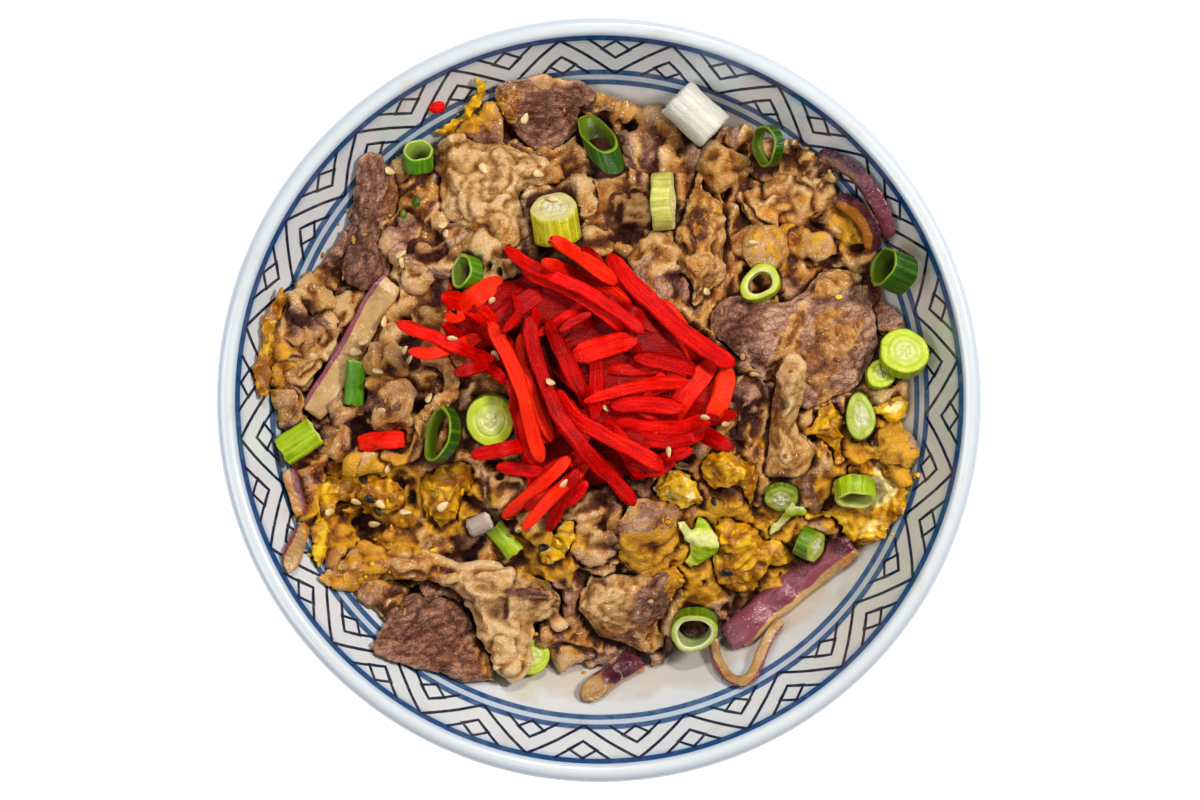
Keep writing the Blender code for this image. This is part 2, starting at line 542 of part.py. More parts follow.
# What lies on the heap, from the lowest layer to the highest
PIECES = [
    # Against the wall, clockwise from the left
    Sheet("egg_left_edge", "egg", [(-83, 29.5), (-82.3, 25), (-84, 20), (-85.5, 14), (-86, 8),
        (-86.2, 2.5), (-88, -0.8), (-90, 3.5), (-90.3, 9), (-89, 14), (-89, 18), (-86.5, 24)], 3.4),
    Sheet("beef_tall_slice", "beef_lean", [(-63, 62.5), (-60, 65.5), (-57, 64), (-54.5, 59),
        (-52.8, 54), (-54, 50.5), (-53.5, 47.3), (-56.7, 46.3), (-57.5, 43), (-55.6, 38), (-55.2, 33),
        (-58.5, 28.5), (-65, 29), (-68.3, 32.5), (-67.3, 38), (-66, 44), (-65.5, 50), (-64.8, 56)],
        5.2, 2.2, 0.6, 4.0),
    Sheet("egg_top_left", "egg", [(-44.5, 70.3), (-41.5, 71.7), (-38.5, 74.3), (-35, 76.3), (-33.4, 80),
        (-33, 84), (-29.2, 84.3), (-29.8, 79.6), (-32.5, 76.5), (-35.3, 73.5), (-37, 71.9), (-41, 69)],
        3.0, 1.6),
    Sheet("beef_top_slice", "beef_lean", [(-28, 80), (-26.5, 83.5), (-20, 84.3), (-15, 85.6), (-10, 84),
        (-4, 83.5), (-0.3, 82), (-1.2, 78.8), (-5.8, 77), (-5.4, 71.5), (-7.6, 68.6), (-13, 65.6),
        (-18, 65.8), (-22.3, 70), (-25.5, 75.5)], 5.0, 2.0, 0.6, 3.9),
    Sheet("beef_pale_slice", "beef_fat", [(-44.3, 65), (-42.5, 68), (-37, 70.5), (-32, 67.8),
        (-26, 68.3), (-21.5, 65), (-15, 63.2), (-9.5, 60), (-9, 57.8), (-13, 56.3), (-19.5, 56),
        (-21, 52), (-20.5, 48), (-18.8, 44.5), (-21.5, 41.3), (-27, 40.3), (-33, 44), (-38.5, 46.5),
        (-41, 50), (-41.8, 56), (-42.5, 60.5)], 7.2, 2.6, 1.5, 4.1),
    Band("onion_outer_arc", "red_onion", [(57.5, 64), (62.5, 62.5), (67.5, 58.8), (71.5, 53.7),
        (74.3, 48), (76, 42.5)], 4.6, 3.2, 1.6, 0.2, 3.6),
    Band("onion_inner_arc", "red_onion", [(62.8, 52.5), (66.6, 50.7), (69.8, 47), (71.7, 43),
        (71.4, 39.5)], 5.0, 3.0, 1.5, 0.2, 3.6),
    Sheet("beef_golden_ruffle", "beef_fat", [(36.6, 52.5), (37.5, 55.4), (41, 54.3), (45, 58),
        (48.5, 59.2), (50.5, 61.8), (54.5, 61.6), (57, 59.8), (60.5, 60.3), (63, 57.5), (62.3, 54),
        (60.5, 50.5), (57, 48), (53.5, 45.8), (49.5, 46.5), (45.5, 44.9), (40, 45.6), (37.3, 48)],
        6.0, 2.2, 1.4, 3.5),
    Sheet("beef_long_slice", "beef_lean", [(28.5, 18.5), (30.5, 25), (37, 28), (44, 27.3), (50, 26),
        (54, 30), (59, 34.5), (65, 34.5), (69.5, 31.5), (71, 25), (74, 17), (72.8, 12), (70.8, 7.3),
        (68, 3.2), (63.5, 1.6), (57.5, -1.5), (52, -2), (47, 4), (43, 5), (39, 9), (33, 13.3)],
        4.6, 1.8, 0.9, 4.6),
    Sheet("egg_right_glossy", "egg", [(71.8, -2), (74.5, -0.8), (78, 1.8), (80.3, 1), (81, -2.6),
        (80, -5.6), (75.5, -5.8)], 3.4, 1.6, 0.6, 3.6),
    Sheet("egg_right_large", "egg", [(65, -17.6), (70, -15.6), (73.5, -14.5), (76.5, -17.6), (80, -19),
        (81.5, -24), (79.5, -31), (76.5, -33), (75.5, -36.5), (71.5, -39), (66.5, -38.7), (64.5, -35),
        (62.5, -31), (56, -31.8), (53, -30.8), (57, -28.8), (62, -28.2), (64.5, -23)],
        4.4, 1.8, 1.0, 3.8),
    Band("onion_long_band", "red_onion", [(66.3, -38.5), (61.5, -42), (56, -46.2), (50, -51), (44, -56),
        (38.5, -60.6), (34.3, -63.3)], 6.6, 3.4, 1.6, 0.2, 4.0),
    Band("onion_loop", "red_onion", [(30.4, -62.5), (31, -68), (33.8, -72.8), (37.5, -74.4),
        (40.5, -72.2), (42.8, -67), (45.2, -62.2), (48.4, -58.2)], 3.4, 3.2, 1.6, 0.2, 3.4),
    Tube("spring_onion_slant_ring", (25.0, -60.7), (6.2, 6.2), 2.2, 6.6, -92.0, 62.0, 0.0, 14),
    Sheet("onion_pink_piece", "red_onion", [(-5.3, -76.6), (-5, -79.4), (-2.4, -80.2), (1, -78.8),
        (5, -75.4), (10, -72.6), (13, -71.6), (12.6, -69.8), (9, -67.2), (5.6, -66.8), (5, -69.5),
        (0, -71.8), (-4, -74.6)], 4.4, 1.8, 0.2, 3.8),
    Sheet("beef_dark_slice", "beef_lean", [(-60.3, -64), (-57, -60), (-54.3, -55), (-52, -52),
        (-48, -50.6), (-42, -51.2), (-38, -53.4), (-34.5, -57.5), (-31.5, -63), (-28.5, -69),
        (-26.5, -74), (-33, -75), (-40, -73), (-47, -70.8), (-54, -68.8), (-58.5, -66.8)],
        6.2, 2.4, 0.6, 4.2),
    Tube("spring_onion_half_hidden", (-18.2, -68.2), (5.0, 5.0), 0.0, 3.6, 10.0, 62.0),
    Sheet("onion_left_lower", "red_onion", [(-83.2, -40), (-81.2, -35.7), (-78.8, -32.8),
        (-76.6, -32.2), (-76.6, -36), (-77.8, -41), (-79.5, -45.6), (-82, -45.2)], 3.4, 1.6, 0.2, 3.8),
    Band("onion_left_upper", "red_onion", [(-82, -18.3), (-80.8, -22.5), (-79.4, -27), (-78.4, -30.6)],
        4.0, 3.0, 1.5, 0.2, 3.4),
    Sheet("egg_left_large", "egg", [(-77, -17), (-74.8, -17.4), (-72.8, -20), (-69, -21), (-64, -19.6),
        (-56, -20.2), (-51.2, -22.8), (-50.8, -28), (-56, -30.5), (-61, -28.6), (-66, -26.5),
        (-70, -28), (-71, -33), (-71.5, -39), (-73, -45), (-75.4, -42.5), (-75.8, -37), (-75.6, -30),
        (-76.6, -23)], 4.6, 1.8, 0.9, 3.8),
    # Upper layers
    Band("beef_hook_fold", "beef_fat", [(-46.5, 10.3), (-42, 10), (-39, 6), (-39, 1.3), (-42.4, -1.8),
        (-46, -5.5), (-47.3, -11), (-49, -15), (-53, -15.6), (-57, -13.8)], 3.8, 6.0, 3.6, 0.5, 3.0),
    Sheet("beef_left_ruffle", "beef_fat", [(-84.3, 10.3), (-83, 13), (-79, 13.6), (-75, 14.2),
        (-73.6, 17.5), (-73.4, 20.6), (-70, 22), (-68.6, 18.5), (-69, 14), (-70.5, 10), (-74, 6.5),
        (-76, 2.5), (-77.4, -3.2), (-80, -4.2), (-81, -2), (-80, 1.5), (-82.5, 4), (-84.3, 6)],
        5.8, 2.2, 1.3, 3.5),
    Band("onion_long_strip", "red_onion", [(-54.3, 31.2), (-59, 25), (-62.5, 18), (-67, 10), (-71.5, 3),
        (-76, -3.8)], 7.4, 3.0, 1.5, 0.2, 4.2),
    Sheet("egg_golden_knob", "egg", [(-43, -18), (-37.5, -16), (-33, -17.5), (-33.2, -22), (-36, -26),
        (-36.8, -31), (-39.5, -33), (-41.5, -34.8), (-44.3, -31.5), (-47, -26), (-46.8, -21)],
        6.6, 2.2, 1.5, 3.5),
    Sheet("egg_by_ginger", "egg", [(-11, -33), (-8.5, -31.5), (-5.8, -31.6), (-5.6, -35), (-8, -40),
        (-11, -43.6), (-14.5, -44), (-16.6, -41.5), (-14, -38.6)], 5.0, 1.8, 1.1, 3.5),
    Sheet("beef_wavy_slice", "beef_fat", [(-73.6, -46.8), (-71.8, -44.8), (-68, -43.5), (-65.3, -40),
        (-62, -37.5), (-57, -40), (-50, -39), (-44, -41), (-39, -43), (-31, -43), (-24, -44),
        (-17, -46), (-11.5, -48.3), (-9, -52), (-10, -56), (-8.5, -60.6), (-10.4, -61.3), (-13, -58.4),
        (-17.6, -60), (-18.6, -64), (-18.2, -70), (-20.5, -74), (-24, -74.6), (-28, -71),
        (-30.5, -65.5), (-33, -59), (-36, -53.5), (-40, -49.5), (-48, -47.8), (-56, -48.2),
        (-63, -49.4), (-70, -49.6)], 6.6, 2.4, 1.6, 4.4),
    Sheet("beef_folded_slice", "beef_fat", [(-6, -54.5), (-4.6, -50), (-2.6, -45.6), (2, -46),
        (5, -44.9), (9, -45.6), (14, -46.4), (19, -43.6), (21.8, -45.5), (22, -49), (19, -51.5),
        (16.5, -57), (15, -60.5), (17.8, -62), (17, -65.6), (13, -68), (9, -65.8), (4, -64.6),
        (-0.5, -63), (-4, -58.5)], 6.8, 2.4, 1.2, 3.9),
    Sheet("egg_right_ruffle", "egg", [(29.5, -40), (29.8, -34.5), (31.4, -30), (34, -30.8), (37, -32.2),
        (40.5, -33), (44, -37.4), (47.6, -36.4), (50.5, -41.5), (48.5, -44.4), (44.5, -43.6),
        (44, -46.5), (41.4, -49.5), (40.5, -51), (36, -50.6), (32, -48.5), (30, -44.5)],
        5.6, 2.0, 1.5, 3.7),
    Sheet("egg_right_fold", "egg", [(26.5, -18), (28.3, -14), (33, -13.2), (38, -15.4), (41, -18),
        (41.6, -23), (40.8, -28.4), (38.6, -27.6), (36.8, -22.4), (33, -24), (28.6, -23)],
        5.4, 2.0, 1.1, 3.6),
    Sheet("egg_striped", "egg", [(13.6, -23), (16, -19.4), (19.6, -17.2), (22.6, -18), (25, -21),
        (27.8, -27), (26.8, -28.8), (24.4, -28), (22, -28.8), (18, -27.6), (15, -25.6)],
        5.6, 2.2, 0.8, 3.3),
    Sheet("egg_right_drape", "egg", [(53.3, -8.5), (55.8, -6.5), (57.6, -2.6), (61.6, -1), (64, -4),
        (64, -9), (64, -13), (64.6, -16.6), (61.3, -16.8), (60.4, -11.5), (56.4, -10)],
        4.4, 1.8, 0.9, 3.4),
    Sheet("beef_fat_ridge", "beef_fat", [(47.5, 9), (50.5, 12), (53.8, 9.5), (54.2, 3), (52.4, -3),
        (52, -8), (55.6, -12), (56, -16.4), (52.6, -20), (46, -21), (43.2, -19), (43.8, -12),
        (44.3, -5), (45.5, 2)], 8.4, 3.0, 0.9, 3.7),
    Sheet("beef_golden_loop", "beef_fat", [(24.6, 57), (27, 61.6), (28.3, 59.6), (27.3, 55), (31, 52.6),
        (33.4, 48.5), (33.6, 43), (32.8, 37), (32.3, 32), (30, 28.6), (26.5, 25), (23.2, 24),
        (23.8, 30), (20.6, 34), (19.2, 41), (20.4, 46), (22.6, 51)], 6.6, 2.4, 1.3, 3.7),
    # Spring onion on top
    Tube("spring_onion_slant_tube", (0.4, 67.2), (4.4, 4.4), 0.8, 15.0, -72.0, 10.0, 4.6),
    Tube("spring_onion_white_chunk", (25.2, 74.8), (5.7, 5.4), 0.0, 14.0, -43.0, 6.0, 0.0, 14),
    Tube("spring_onion_pale_disc", (16.7, 51.8), (8.1, 8.1), 0.0, 5.6, 2.0, 6.0, 0.0, 16),
    Tube("spring_onion_upper_ring", (44.3, 66.7), (6.3, 6.3), 0.9, 3.0, 184.0, 27.0, 0.0, 14),
    Tube("spring_onion_yellow_tube", (-11.5, 47.2), (6.2, 6.2), 1.7, 12.0, 99.0, 24.0, 0.0, 14),
    Tube("spring_onion_left_tube", (-47.6, 63.8), (4.1, 4.1), 0.8, 6.6, 91.0, 22.0),
    Tube("spring_onion_cupped_ring", (-34.6, 33.3), (5.1, 5.1), 1.0, 4.2, 166.0, 32.0),
    Tube("spring_onion_flat_strip", (-64.2, 4.4), (2.6, 1.5), 0.55, 11.6, 84.0, 2.0),
    Tube("spring_onion_wide_ring", (-41.0, -9.3), (8.6, 5.0), 1.0, 3.8, 168.0, 50.0, 0.0, 16),
    Tube("spring_onion_round_disc", (-28.4, -5.2), (6.5, 6.8), 0.0, 5.6, 258.0, 74.0, 0.0, 16),
    Tube("spring_onion_pressed_tube", (-79.0, -11.0), (4.2, 2.0), 0.7, 10.6, 33.0, 4.0),
    Tube("spring_onion_open_ring", (42.2, 30.4), (5.6, 5.3), 1.2, 4.0, 118.0, 66.0, 0.0, 14),
    Tube("spring_onion_dark_tube", (77.0, 33.6), (5.9, 5.9), 1.0, 7.6, 158.0, 20.0, 0.0, 14),
    Tube("spring_onion_under_disc", (73.8, 6.5), (4.0, 4.0), 0.0, 3.6, 60.0, 68.0),
    Tube("spring_onion_lime_disc", (79.8, 12.0), (6.6, 6.3), 0.0, 5.0, 84.0, 70.0, 0.0, 16),
    Tube("spring_onion_oval_slice", (68.6, -4.6), (4.0, 7.0), 0.0, 4.0, 100.0, 76.0, 0.0, 14),
    Tube("spring_onion_lime_tube", (67.2, -24.1), (5.7, 5.2), 1.1, 5.6, -88.0, 18.0, 0.0, 14),
    Tube("spring_onion_green_stub", (55.8, -38.4), (4.4, 4.4), 0.0, 7.4, -24.0, 14.0),
    Tube("spring_onion_half_ring", (47.8, -25.6), (4.7, 4.7), 1.2, 3.0, -91.0, 30.0),
    Tube("spring_onion_lime_strip", (-24.9, -36.9), (2.6, 1.7), 0.6, 9.2, -51.0, 3.0),
    Tube("spring_onion_white_stub", (-31.4, -32.8), (2.5, 2.0), 0.0, 6.4, 24.0, 4.0, 0.0, 10),
    Sheet("spring_onion_curled_sprig", "spring_onion", [(20.2, -32), (22.4, -31.8), (25.2, -35.4),
        (25, -31), (27, -30.4), (29.4, -33.4), (31.2, -36.4), (31.8, -39.6), (29.4, -41.4),
        (26.8, -43.2), (24, -44.2), (22, -42.4), (24.4, -39.6), (21.6, -35.4)], 3.4, 1.8, 0.3, 3.0),
    Sheet("spring_onion_thin_sprig", "spring_onion", [(50.4, -26.4), (51.6, -28), (54.8, -28.6),
        (54.6, -30.2), (51.4, -30.6), (48.4, -33.2), (45.8, -36), (44, -35), (46.2, -32.4),
        (48.6, -29.6)], 2.6, 1.5, 0.2, 2.8),
]

# The ginger heap: its core, then its strips from the lowest up, each with its width
GINGER_CORE = Sheet("pickled_ginger", "pickled_ginger", [(-38, 26), (-28, 31), (-16, 33), (-4, 34),
    (6, 31), (16, 21), (27, 13), (32, 6), (28, -6), (19, -11), (15, -17), (4, -22), (-5, -23), (-16, -17),
    (-19.5, -10), (-19, 0), (-24, 9), (-36, 14)], 6.0, 2.0, 0.5, 6.5)
GINGER_THICK = 3.4
STRIP_DROP = 3.0
STRIP_STEP = 8.5
GINGER_STRIPS = [
    ([(-41, 27), (-34, 24), (-27, 20)], 5.0),
    ([(-49.5, 12.6), (-43, 12), (-36, 14.5), (-30, 17)], 3.6),
    ([(-39.5, 20.5), (-33, 26.5), (-25.5, 31.5)], 5.6),
    ([(-20, 34), (-10, 30.5), (0, 24), (8, 18)], 5.0),
    ([(33.6, 8.5), (32, 1), (28.8, -6.5)], 5.6),
    ([(9, 11), (17, 9.5), (25, 7)], 4.0),
    ([(-27, -17.6), (-20.5, -18.3), (-14, -19)], 4.0),
    ([(-20, -2), (-18.8, -10), (-16.5, -17)], 3.8),
    ([(-3, -21.5), (-7, -25.5), (-10.5, -28.5)], 3.8),
    ([(8, -17), (14, -18.5), (19.5, -16.5)], 3.6),
    ([(6, -8.2), (14, -10.8), (23, -10.3), (28.8, -7)], 3.8),
    ([(-7, 11), (2, 14), (10, 16)], 6.0),
    ([(-20.5, 17), (-19.6, 8), (-15.6, -3), (-12.5, -11)], 3.6),
    ([(2.3, 38), (7, 32), (13, 26), (21, 18.4), (29, 12.6), (35.3, 9)], 4.8),
    ([(-12.8, 42), (-8, 39.2), (-2, 35.3), (4.5, 30.3)], 4.2),
    ([(-24.6, 39.8), (-19, 35.4), (-12, 32), (-3, 27.6), (5, 22.5), (11.5, 17.3)], 3.8),
    ([(-15, 36), (-7, 33), (2, 28.8), (9, 24.4)], 3.6),
    ([(-52.6, 19.8), (-45, 17), (-37, 13.6), (-27.5, 10.2)], 3.6),
    ([(-28.5, 20), (-24, 12), (-20.2, 3), (-17.8, -7), (-15, -16.4)], 3.8),
    ([(-22.3, 27.5), (-21, 22.5), (-25.2, 17.3)], 2.6),
    ([(-11, 2.5), (-6.5, -4.5), (1, -9.2), (9, -13.2), (17, -18)], 4.6),
    ([(4, -6), (13, -7.2), (22, -7), (29.3, -5)], 4.4),
    ([(3, -1.6), (12, -1.2), (22, -2.4)], 4.4),
    ([(-4, -0.6), (4, 2), (13, 4), (23, 4.6)], 3.4),
    ([(-18.3, 21.5), (-17, 13), (-14, 4), (-10, -5), (-4, -13), (3, -20.3), (9.5, -27.5)], 4.2),
    ([(-13.5, 21), (-10.5, 14), (-7, 7), (-4.2, 1.2)], 4.0),
    ([(-10.3, 17.6), (-6.5, 20.4), (-2, 22.4)], 2.8),
    ([(-7.5, -15), (-14, -21), (-20, -26.4), (-25.3, -31)], 3.6),
    ([(-5.6, -18), (-8.6, -24), (-11.2, -29), (-13.4, -34.6)], 3.4),
]
GINGER_STUB = Band("ginger_stub", "pickled_ginger", [(-63.6, -11.6), (-58, -10.8), (-51.2, -10.6)],
    5.0, 4.0, 2.0, 0.1, 2.8)

# Sesame seeds, from the bowl's axis, with the turn of each in degrees
PALE_SEEDS = [
    (-62, 15, 50), (-64, 12.5, -10), (-56.5, 20.5, 60), (-58, 7.5, -40), (-57, -3, 40), (-51, 13, 30),
    (-50, 10.5, 60), (-44.6, 0.5, 60), (-64.5, -16.5, 15), (-55.5, -18, 70), (-64, -27, -40),
    (-57.5, -27.6, -40), (-41, -28, 40), (-38, 15.8, -30), (-51, -29.6, -20), (-59.5, -33, 20),
    (-41, 46, 60), (-40.4, 43.6, -50), (-52.2, 38.2, 10), (-51.8, 35.8, -60), (-28, 25.5, -60),
    (-24.6, 23.6, 30), (-27, 11.5, -60), (-12.6, 4.5, 20), (2, -2.4, -5), (-9.3, -22, 80),
    (27.8, -4.8, -50), (30, -0.8, 80), (22, -17.2, -20), (18, -13.6, -70), (33, -6.5, -40),
    (40.6, 6.6, -30), (40.4, 41, 0), (28.2, 28.2, -10), (-12, 52.6, -20), (-19, 54, 70),
    (-16, 59.3, -20), (-19.6, 74, 70), (-22, 85.2, -20), (-30.5, 60.8, -60), (-55, 60, 0),
    (-71, -29.6, 10),
]
BLACK_SEEDS = [
    (-38, 22.6, -60), (-62, -21, -80), (-60.4, -26.4, -30), (-58.4, -29.6, -30), (-49, -27.4, 0),
    (-26, 33.4, -45), (-14.5, -38.8, 5), (30, -26.8, -40), (33.6, -45.7, -15),
]


def make_bowl():
    """The turned porcelain bowl."""
    vertices, faces = lathe(bowl_profile(), BOWL_SIDES)
    return add_solid("bowl", vertices, faces, MATERIALS["porcelain"])


def heap_reach(turn):
    """How far the heap's core reaches from the axis, at an angle in radians from +X."""
    around = (*HEAP_REACH, HEAP_REACH[0])
    return float(np.interp(math.degrees(turn) % 360, np.linspace(0, 360, len(around)), around))


def heap_height(x, y):
    """Top of the heap's core: a low dome with lumps the size of a folded slice."""
    radius = math.hypot(x, y)
    reach = heap_reach(math.atan2(y, x))
    share = min(radius / reach, 1.0)
    edge = float(inner_height(reach)) + HEAP_GAP
    place = Vector((x / HEAP_LUMP_LENGTH, y / HEAP_LUMP_LENGTH, SEED))
    lump = HEAP_LUMP * 2 * noise.noise(place) * (1 - share**6)
    return edge + (HEAP_TOP - edge) * (1 - share**2.4) + lump


def make_heap(ground):
    """The heap's core down to the bowl, with the slices fused to it that are too close to part."""
    turns = [2 * math.pi * k / HEAP_SIDES for k in range(HEAP_SIDES)]
    reach = [heap_reach(turn) for turn in turns]
    vertices = [(0.0, 0.0, heap_height(0, 0))]
    for share in HEAP_RINGS:
        for turn, far in zip(turns, reach):
            x, y = far * share * math.cos(turn), far * share * math.sin(turn)
            vertices.append((x, y, heap_height(x, y)))
    for share in HEAP_LOWER_RINGS:
        for turn, far in zip(turns, reach):
            radius = far * share
            low = float(inner_height(radius)) + HEAP_GAP
            vertices.append((radius * math.cos(turn), radius * math.sin(turn), low))
    vertices.append((0.0, 0.0, FLOOR_HEIGHT + HEAP_GAP))
    faces = [(0, 1 + k, 1 + (k + 1) % HEAP_SIDES) for k in range(HEAP_SIDES)]
    for ring in range(len(HEAP_RINGS) + len(HEAP_LOWER_RINGS) - 1):
        a, b = 1 + ring * HEAP_SIDES, 1 + (ring + 1) * HEAP_SIDES
        for k in range(HEAP_SIDES):
            n = (k + 1) % HEAP_SIDES
            faces += [(a + k, b + k, b + n), (a + k, b + n, a + n)]
    bottom = len(vertices) - 1
    last = bottom - HEAP_SIDES
    faces += [(last + k, bottom, last + (k + 1) % HEAP_SIDES) for k in range(HEAP_SIDES)]
    top = [face for face in faces if max(face) < 1 + len(HEAP_RINGS) * HEAP_SIDES]
    ground.add(np.array(vertices), np.array(top))
    heap = add_solid("beef_heap", vertices, faces, MATERIALS["beef_lean"])
    slices = []
    for number, piece in enumerate(HEAP_PIECES):
        slices.append(lay_sheet(ground, piece, SEED + number))
    fuse(heap, slices)
    return heap


def lay_strip(ground, path, width, name):
    """A square-cut strip that bends over what is under it, pressed a little way in."""
    middle = curve(path, STRIP_STEP, closed=False)
    along = np.gradient(middle, axis=0)
    along /= np.linalg.norm(along, axis=1)[:, None]
    across = np.stack([-along[:, 1], along[:, 0]], axis=1)
    taper = np.ones(len(middle))
    taper[0] = taper[-1] = 0.72
    plan = np.concatenate([middle - across * (width / 2 * taper)[:, None],
                           middle + across * (width / 2 * taper)[:, None]])
    count = len(middle)
    triangles = []
    for k in range(count - 1):
        triangles += [(k, k + 1, count + k + 1), (k, count + k + 1, count + k)]
    triangles = np.array(triangles)
    under = ground.lift(plan, triangles, ground.sample(plan) - STRIP_DROP)
    side = np.maximum(under[:count], under[count:])
    side = np.convolve(np.pad(side, 1, mode="edge"), (0.25, 0.5, 0.25), mode="valid")
    level = np.maximum(side, (under[:count] + under[count:]) / 2)
    level = np.concatenate([level, level])
    over = np.column_stack([plan, level + GINGER_THICK])
    vertices = np.concatenate([over, np.column_stack([plan, level])])
    total = 2 * count
    faces = [tuple(tri) for tri in triangles] + [tuple(tri[::-1] + total) for tri in triangles]
    rim = list(range(count)) + list(range(total - 1, count - 1, -1))
    for a, b in zip(rim, rim[1:] + rim[:1]):
        faces.append((a, b, b + total, a + total))
    ground.add(vertices, triangles)
    return add_solid(name, vertices, faces, MATERIALS["pickled_ginger"])


def make_ginger(ground):
    """The heap of ginger: a low core with the strips that show fused on."""
    core = lay_sheet(ground, GINGER_CORE, SEED, stiff=4)
    strips = []
    for number, (path, width) in enumerate(GINGER_STRIPS):
        strips.append(lay_strip(ground, path, width, f"strip_{number}"))
    fuse(core, strips)
    return core


def seed_shape(place, lean, turn):
    """A flat pointed seed lying on a slope."""
    shell = bmesh.new()
    bmesh.ops.create_icosphere(shell, subdivisions=1, radius=1.0)
    length, width, thick = (size / 2 for size in SEED_SIZE)
    points = []
    for vert in shell.verts:
        x, y, z = vert.co
        points.append((x * length, y * width * (1 - SEED_POINT * x), z * thick))
    faces = [tuple(v.index for v in face.verts) for face in shell.faces]
    shell.free()
    tilt = Vector((0, 0, 1)).rotation_difference(Vector(lean)).to_matrix()
    spin = Euler((0, 0, math.radians(turn))).to_matrix()
    return np.array(points) @ np.array(tilt @ spin).T + place, faces


def add_seeds(ground, solids):
    """Sesame seeds, each fused to the piece that it lies on and clear of all others."""
    slope_x, slope_y = np.gradient(ground.height, CELL)
    wide = int(SEED_CLEAR / CELL)
    apart = int(SEED_APART / CELL)
    seeds = {}
    for number, (x, y, turn) in enumerate(PALE_SEEDS + BLACK_SEEDS):
        for ring in range(5):
            steps = range(-ring, ring + 1)
            spots = [(i, j) for i in steps for j in steps if max(abs(i), abs(j)) == ring]
            found = None
            for i, j in spots:
                a, b = round((x + REACH) / CELL) + i, round((y + REACH) / CELL) + j
                owners = ground.owner[a - wide:a + wide + 1, b - wide:b + wide + 1]
                flat = max(abs(slope_x[a, b]), abs(slope_y[a, b])) < 0.9
                if owners.min() == owners.max() >= 0 and flat:
                    found = (a, b)
                    break
            if found:
                break
        if not found:
            continue
        a, b = found
        owner = ground.names[ground.owner[a, b]]
        ground.owner[a - apart:a + apart + 1, b - apart:b + apart + 1] = -1
        lean = (-slope_x[a, b], -slope_y[a, b], 1.0)
        place = (a * CELL - REACH, b * CELL - REACH, ground.height[a, b] + SEED_RISE)
        points, faces = seed_shape(place, lean, turn)
        seed = add_solid(f"seed_{number}", points, faces, MATERIALS["sesame"])
        seeds.setdefault(owner, []).append(seed)
    for owner, parts in seeds.items():
        fuse(solids[owner], parts)


def clear_scene():
    """Removes whatever the new file starts with."""
    for old in list(bpy.data.objects):
        bpy.data.objects.remove(old)


def main():
    """Builds the bowl, then lays the food in it from the bottom up."""
    clear_scene()
    for name, (colour, roughness) in COLOURS.items():
        MATERIALS[name] = make_material(name, colour, roughness)
    ground = Ground()
    solids = {"bowl": make_bowl()}
    ground.begin("beef_heap")
    solids["beef_heap"] = make_heap(ground)
    for number, piece in enumerate(PIECES):
        ground.begin(piece.name)
        if isinstance(piece, Tube):
            solids[piece.name] = lay_tube(ground, piece)
        else:
            solids[piece.name] = lay_sheet(ground, piece, SEED + 40 + number)
    ground.begin(GINGER_STUB.name)
    solids[GINGER_STUB.name] = lay_sheet(ground, GINGER_STUB, SEED)
    ground.begin(GINGER_CORE.name)
    solids[GINGER_CORE.name] = make_ginger(ground)
    add_seeds(ground, solids)


main()
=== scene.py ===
"""Looks of a bowl of gyudon, dressed over its solids.

Sizes and places here are in millimetres from the middle of the bowl's foot, with +Z up and +Y towards
the top of the photograph, and angles are in degrees. Shell turns millimetres into Blender's metres.
"""

import itertools
import logging
import math
from dataclasses import dataclass
from enum import Enum
from typing import ClassVar, Iterable, Sequence, Union

import bpy
import numpy as np
from mathutils import Euler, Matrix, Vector


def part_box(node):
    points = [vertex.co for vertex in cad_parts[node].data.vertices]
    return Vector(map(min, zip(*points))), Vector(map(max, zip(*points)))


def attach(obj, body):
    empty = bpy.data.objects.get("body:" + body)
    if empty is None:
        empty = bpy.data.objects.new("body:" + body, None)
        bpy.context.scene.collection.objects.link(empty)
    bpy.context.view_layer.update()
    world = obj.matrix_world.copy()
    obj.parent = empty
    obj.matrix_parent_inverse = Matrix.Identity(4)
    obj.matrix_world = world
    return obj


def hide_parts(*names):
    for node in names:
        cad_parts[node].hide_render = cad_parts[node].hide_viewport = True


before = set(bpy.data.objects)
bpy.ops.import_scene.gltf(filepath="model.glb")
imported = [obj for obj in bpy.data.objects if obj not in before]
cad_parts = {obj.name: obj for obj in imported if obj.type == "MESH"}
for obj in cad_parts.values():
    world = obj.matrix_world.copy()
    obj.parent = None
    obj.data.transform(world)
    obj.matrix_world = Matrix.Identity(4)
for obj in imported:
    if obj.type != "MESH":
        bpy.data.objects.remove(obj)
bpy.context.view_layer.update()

LOG = logging.getLogger("gyudon")
MM = 0.001

Colour = tuple[float, float, float]
Point = tuple[float, float]
Array = np.ndarray
Form = tuple[Array, list[tuple[int, ...]]]


class Slot(str, Enum):
    """Material slots of the record."""

    PORCELAIN = "porcelain"
    LEAN = "beef_lean"
    FAT = "beef_fat"
    EGG = "egg"
    RED_ONION = "red_onion"
    SPRING_ONION = "spring_onion"
    GINGER = "pickled_ginger"


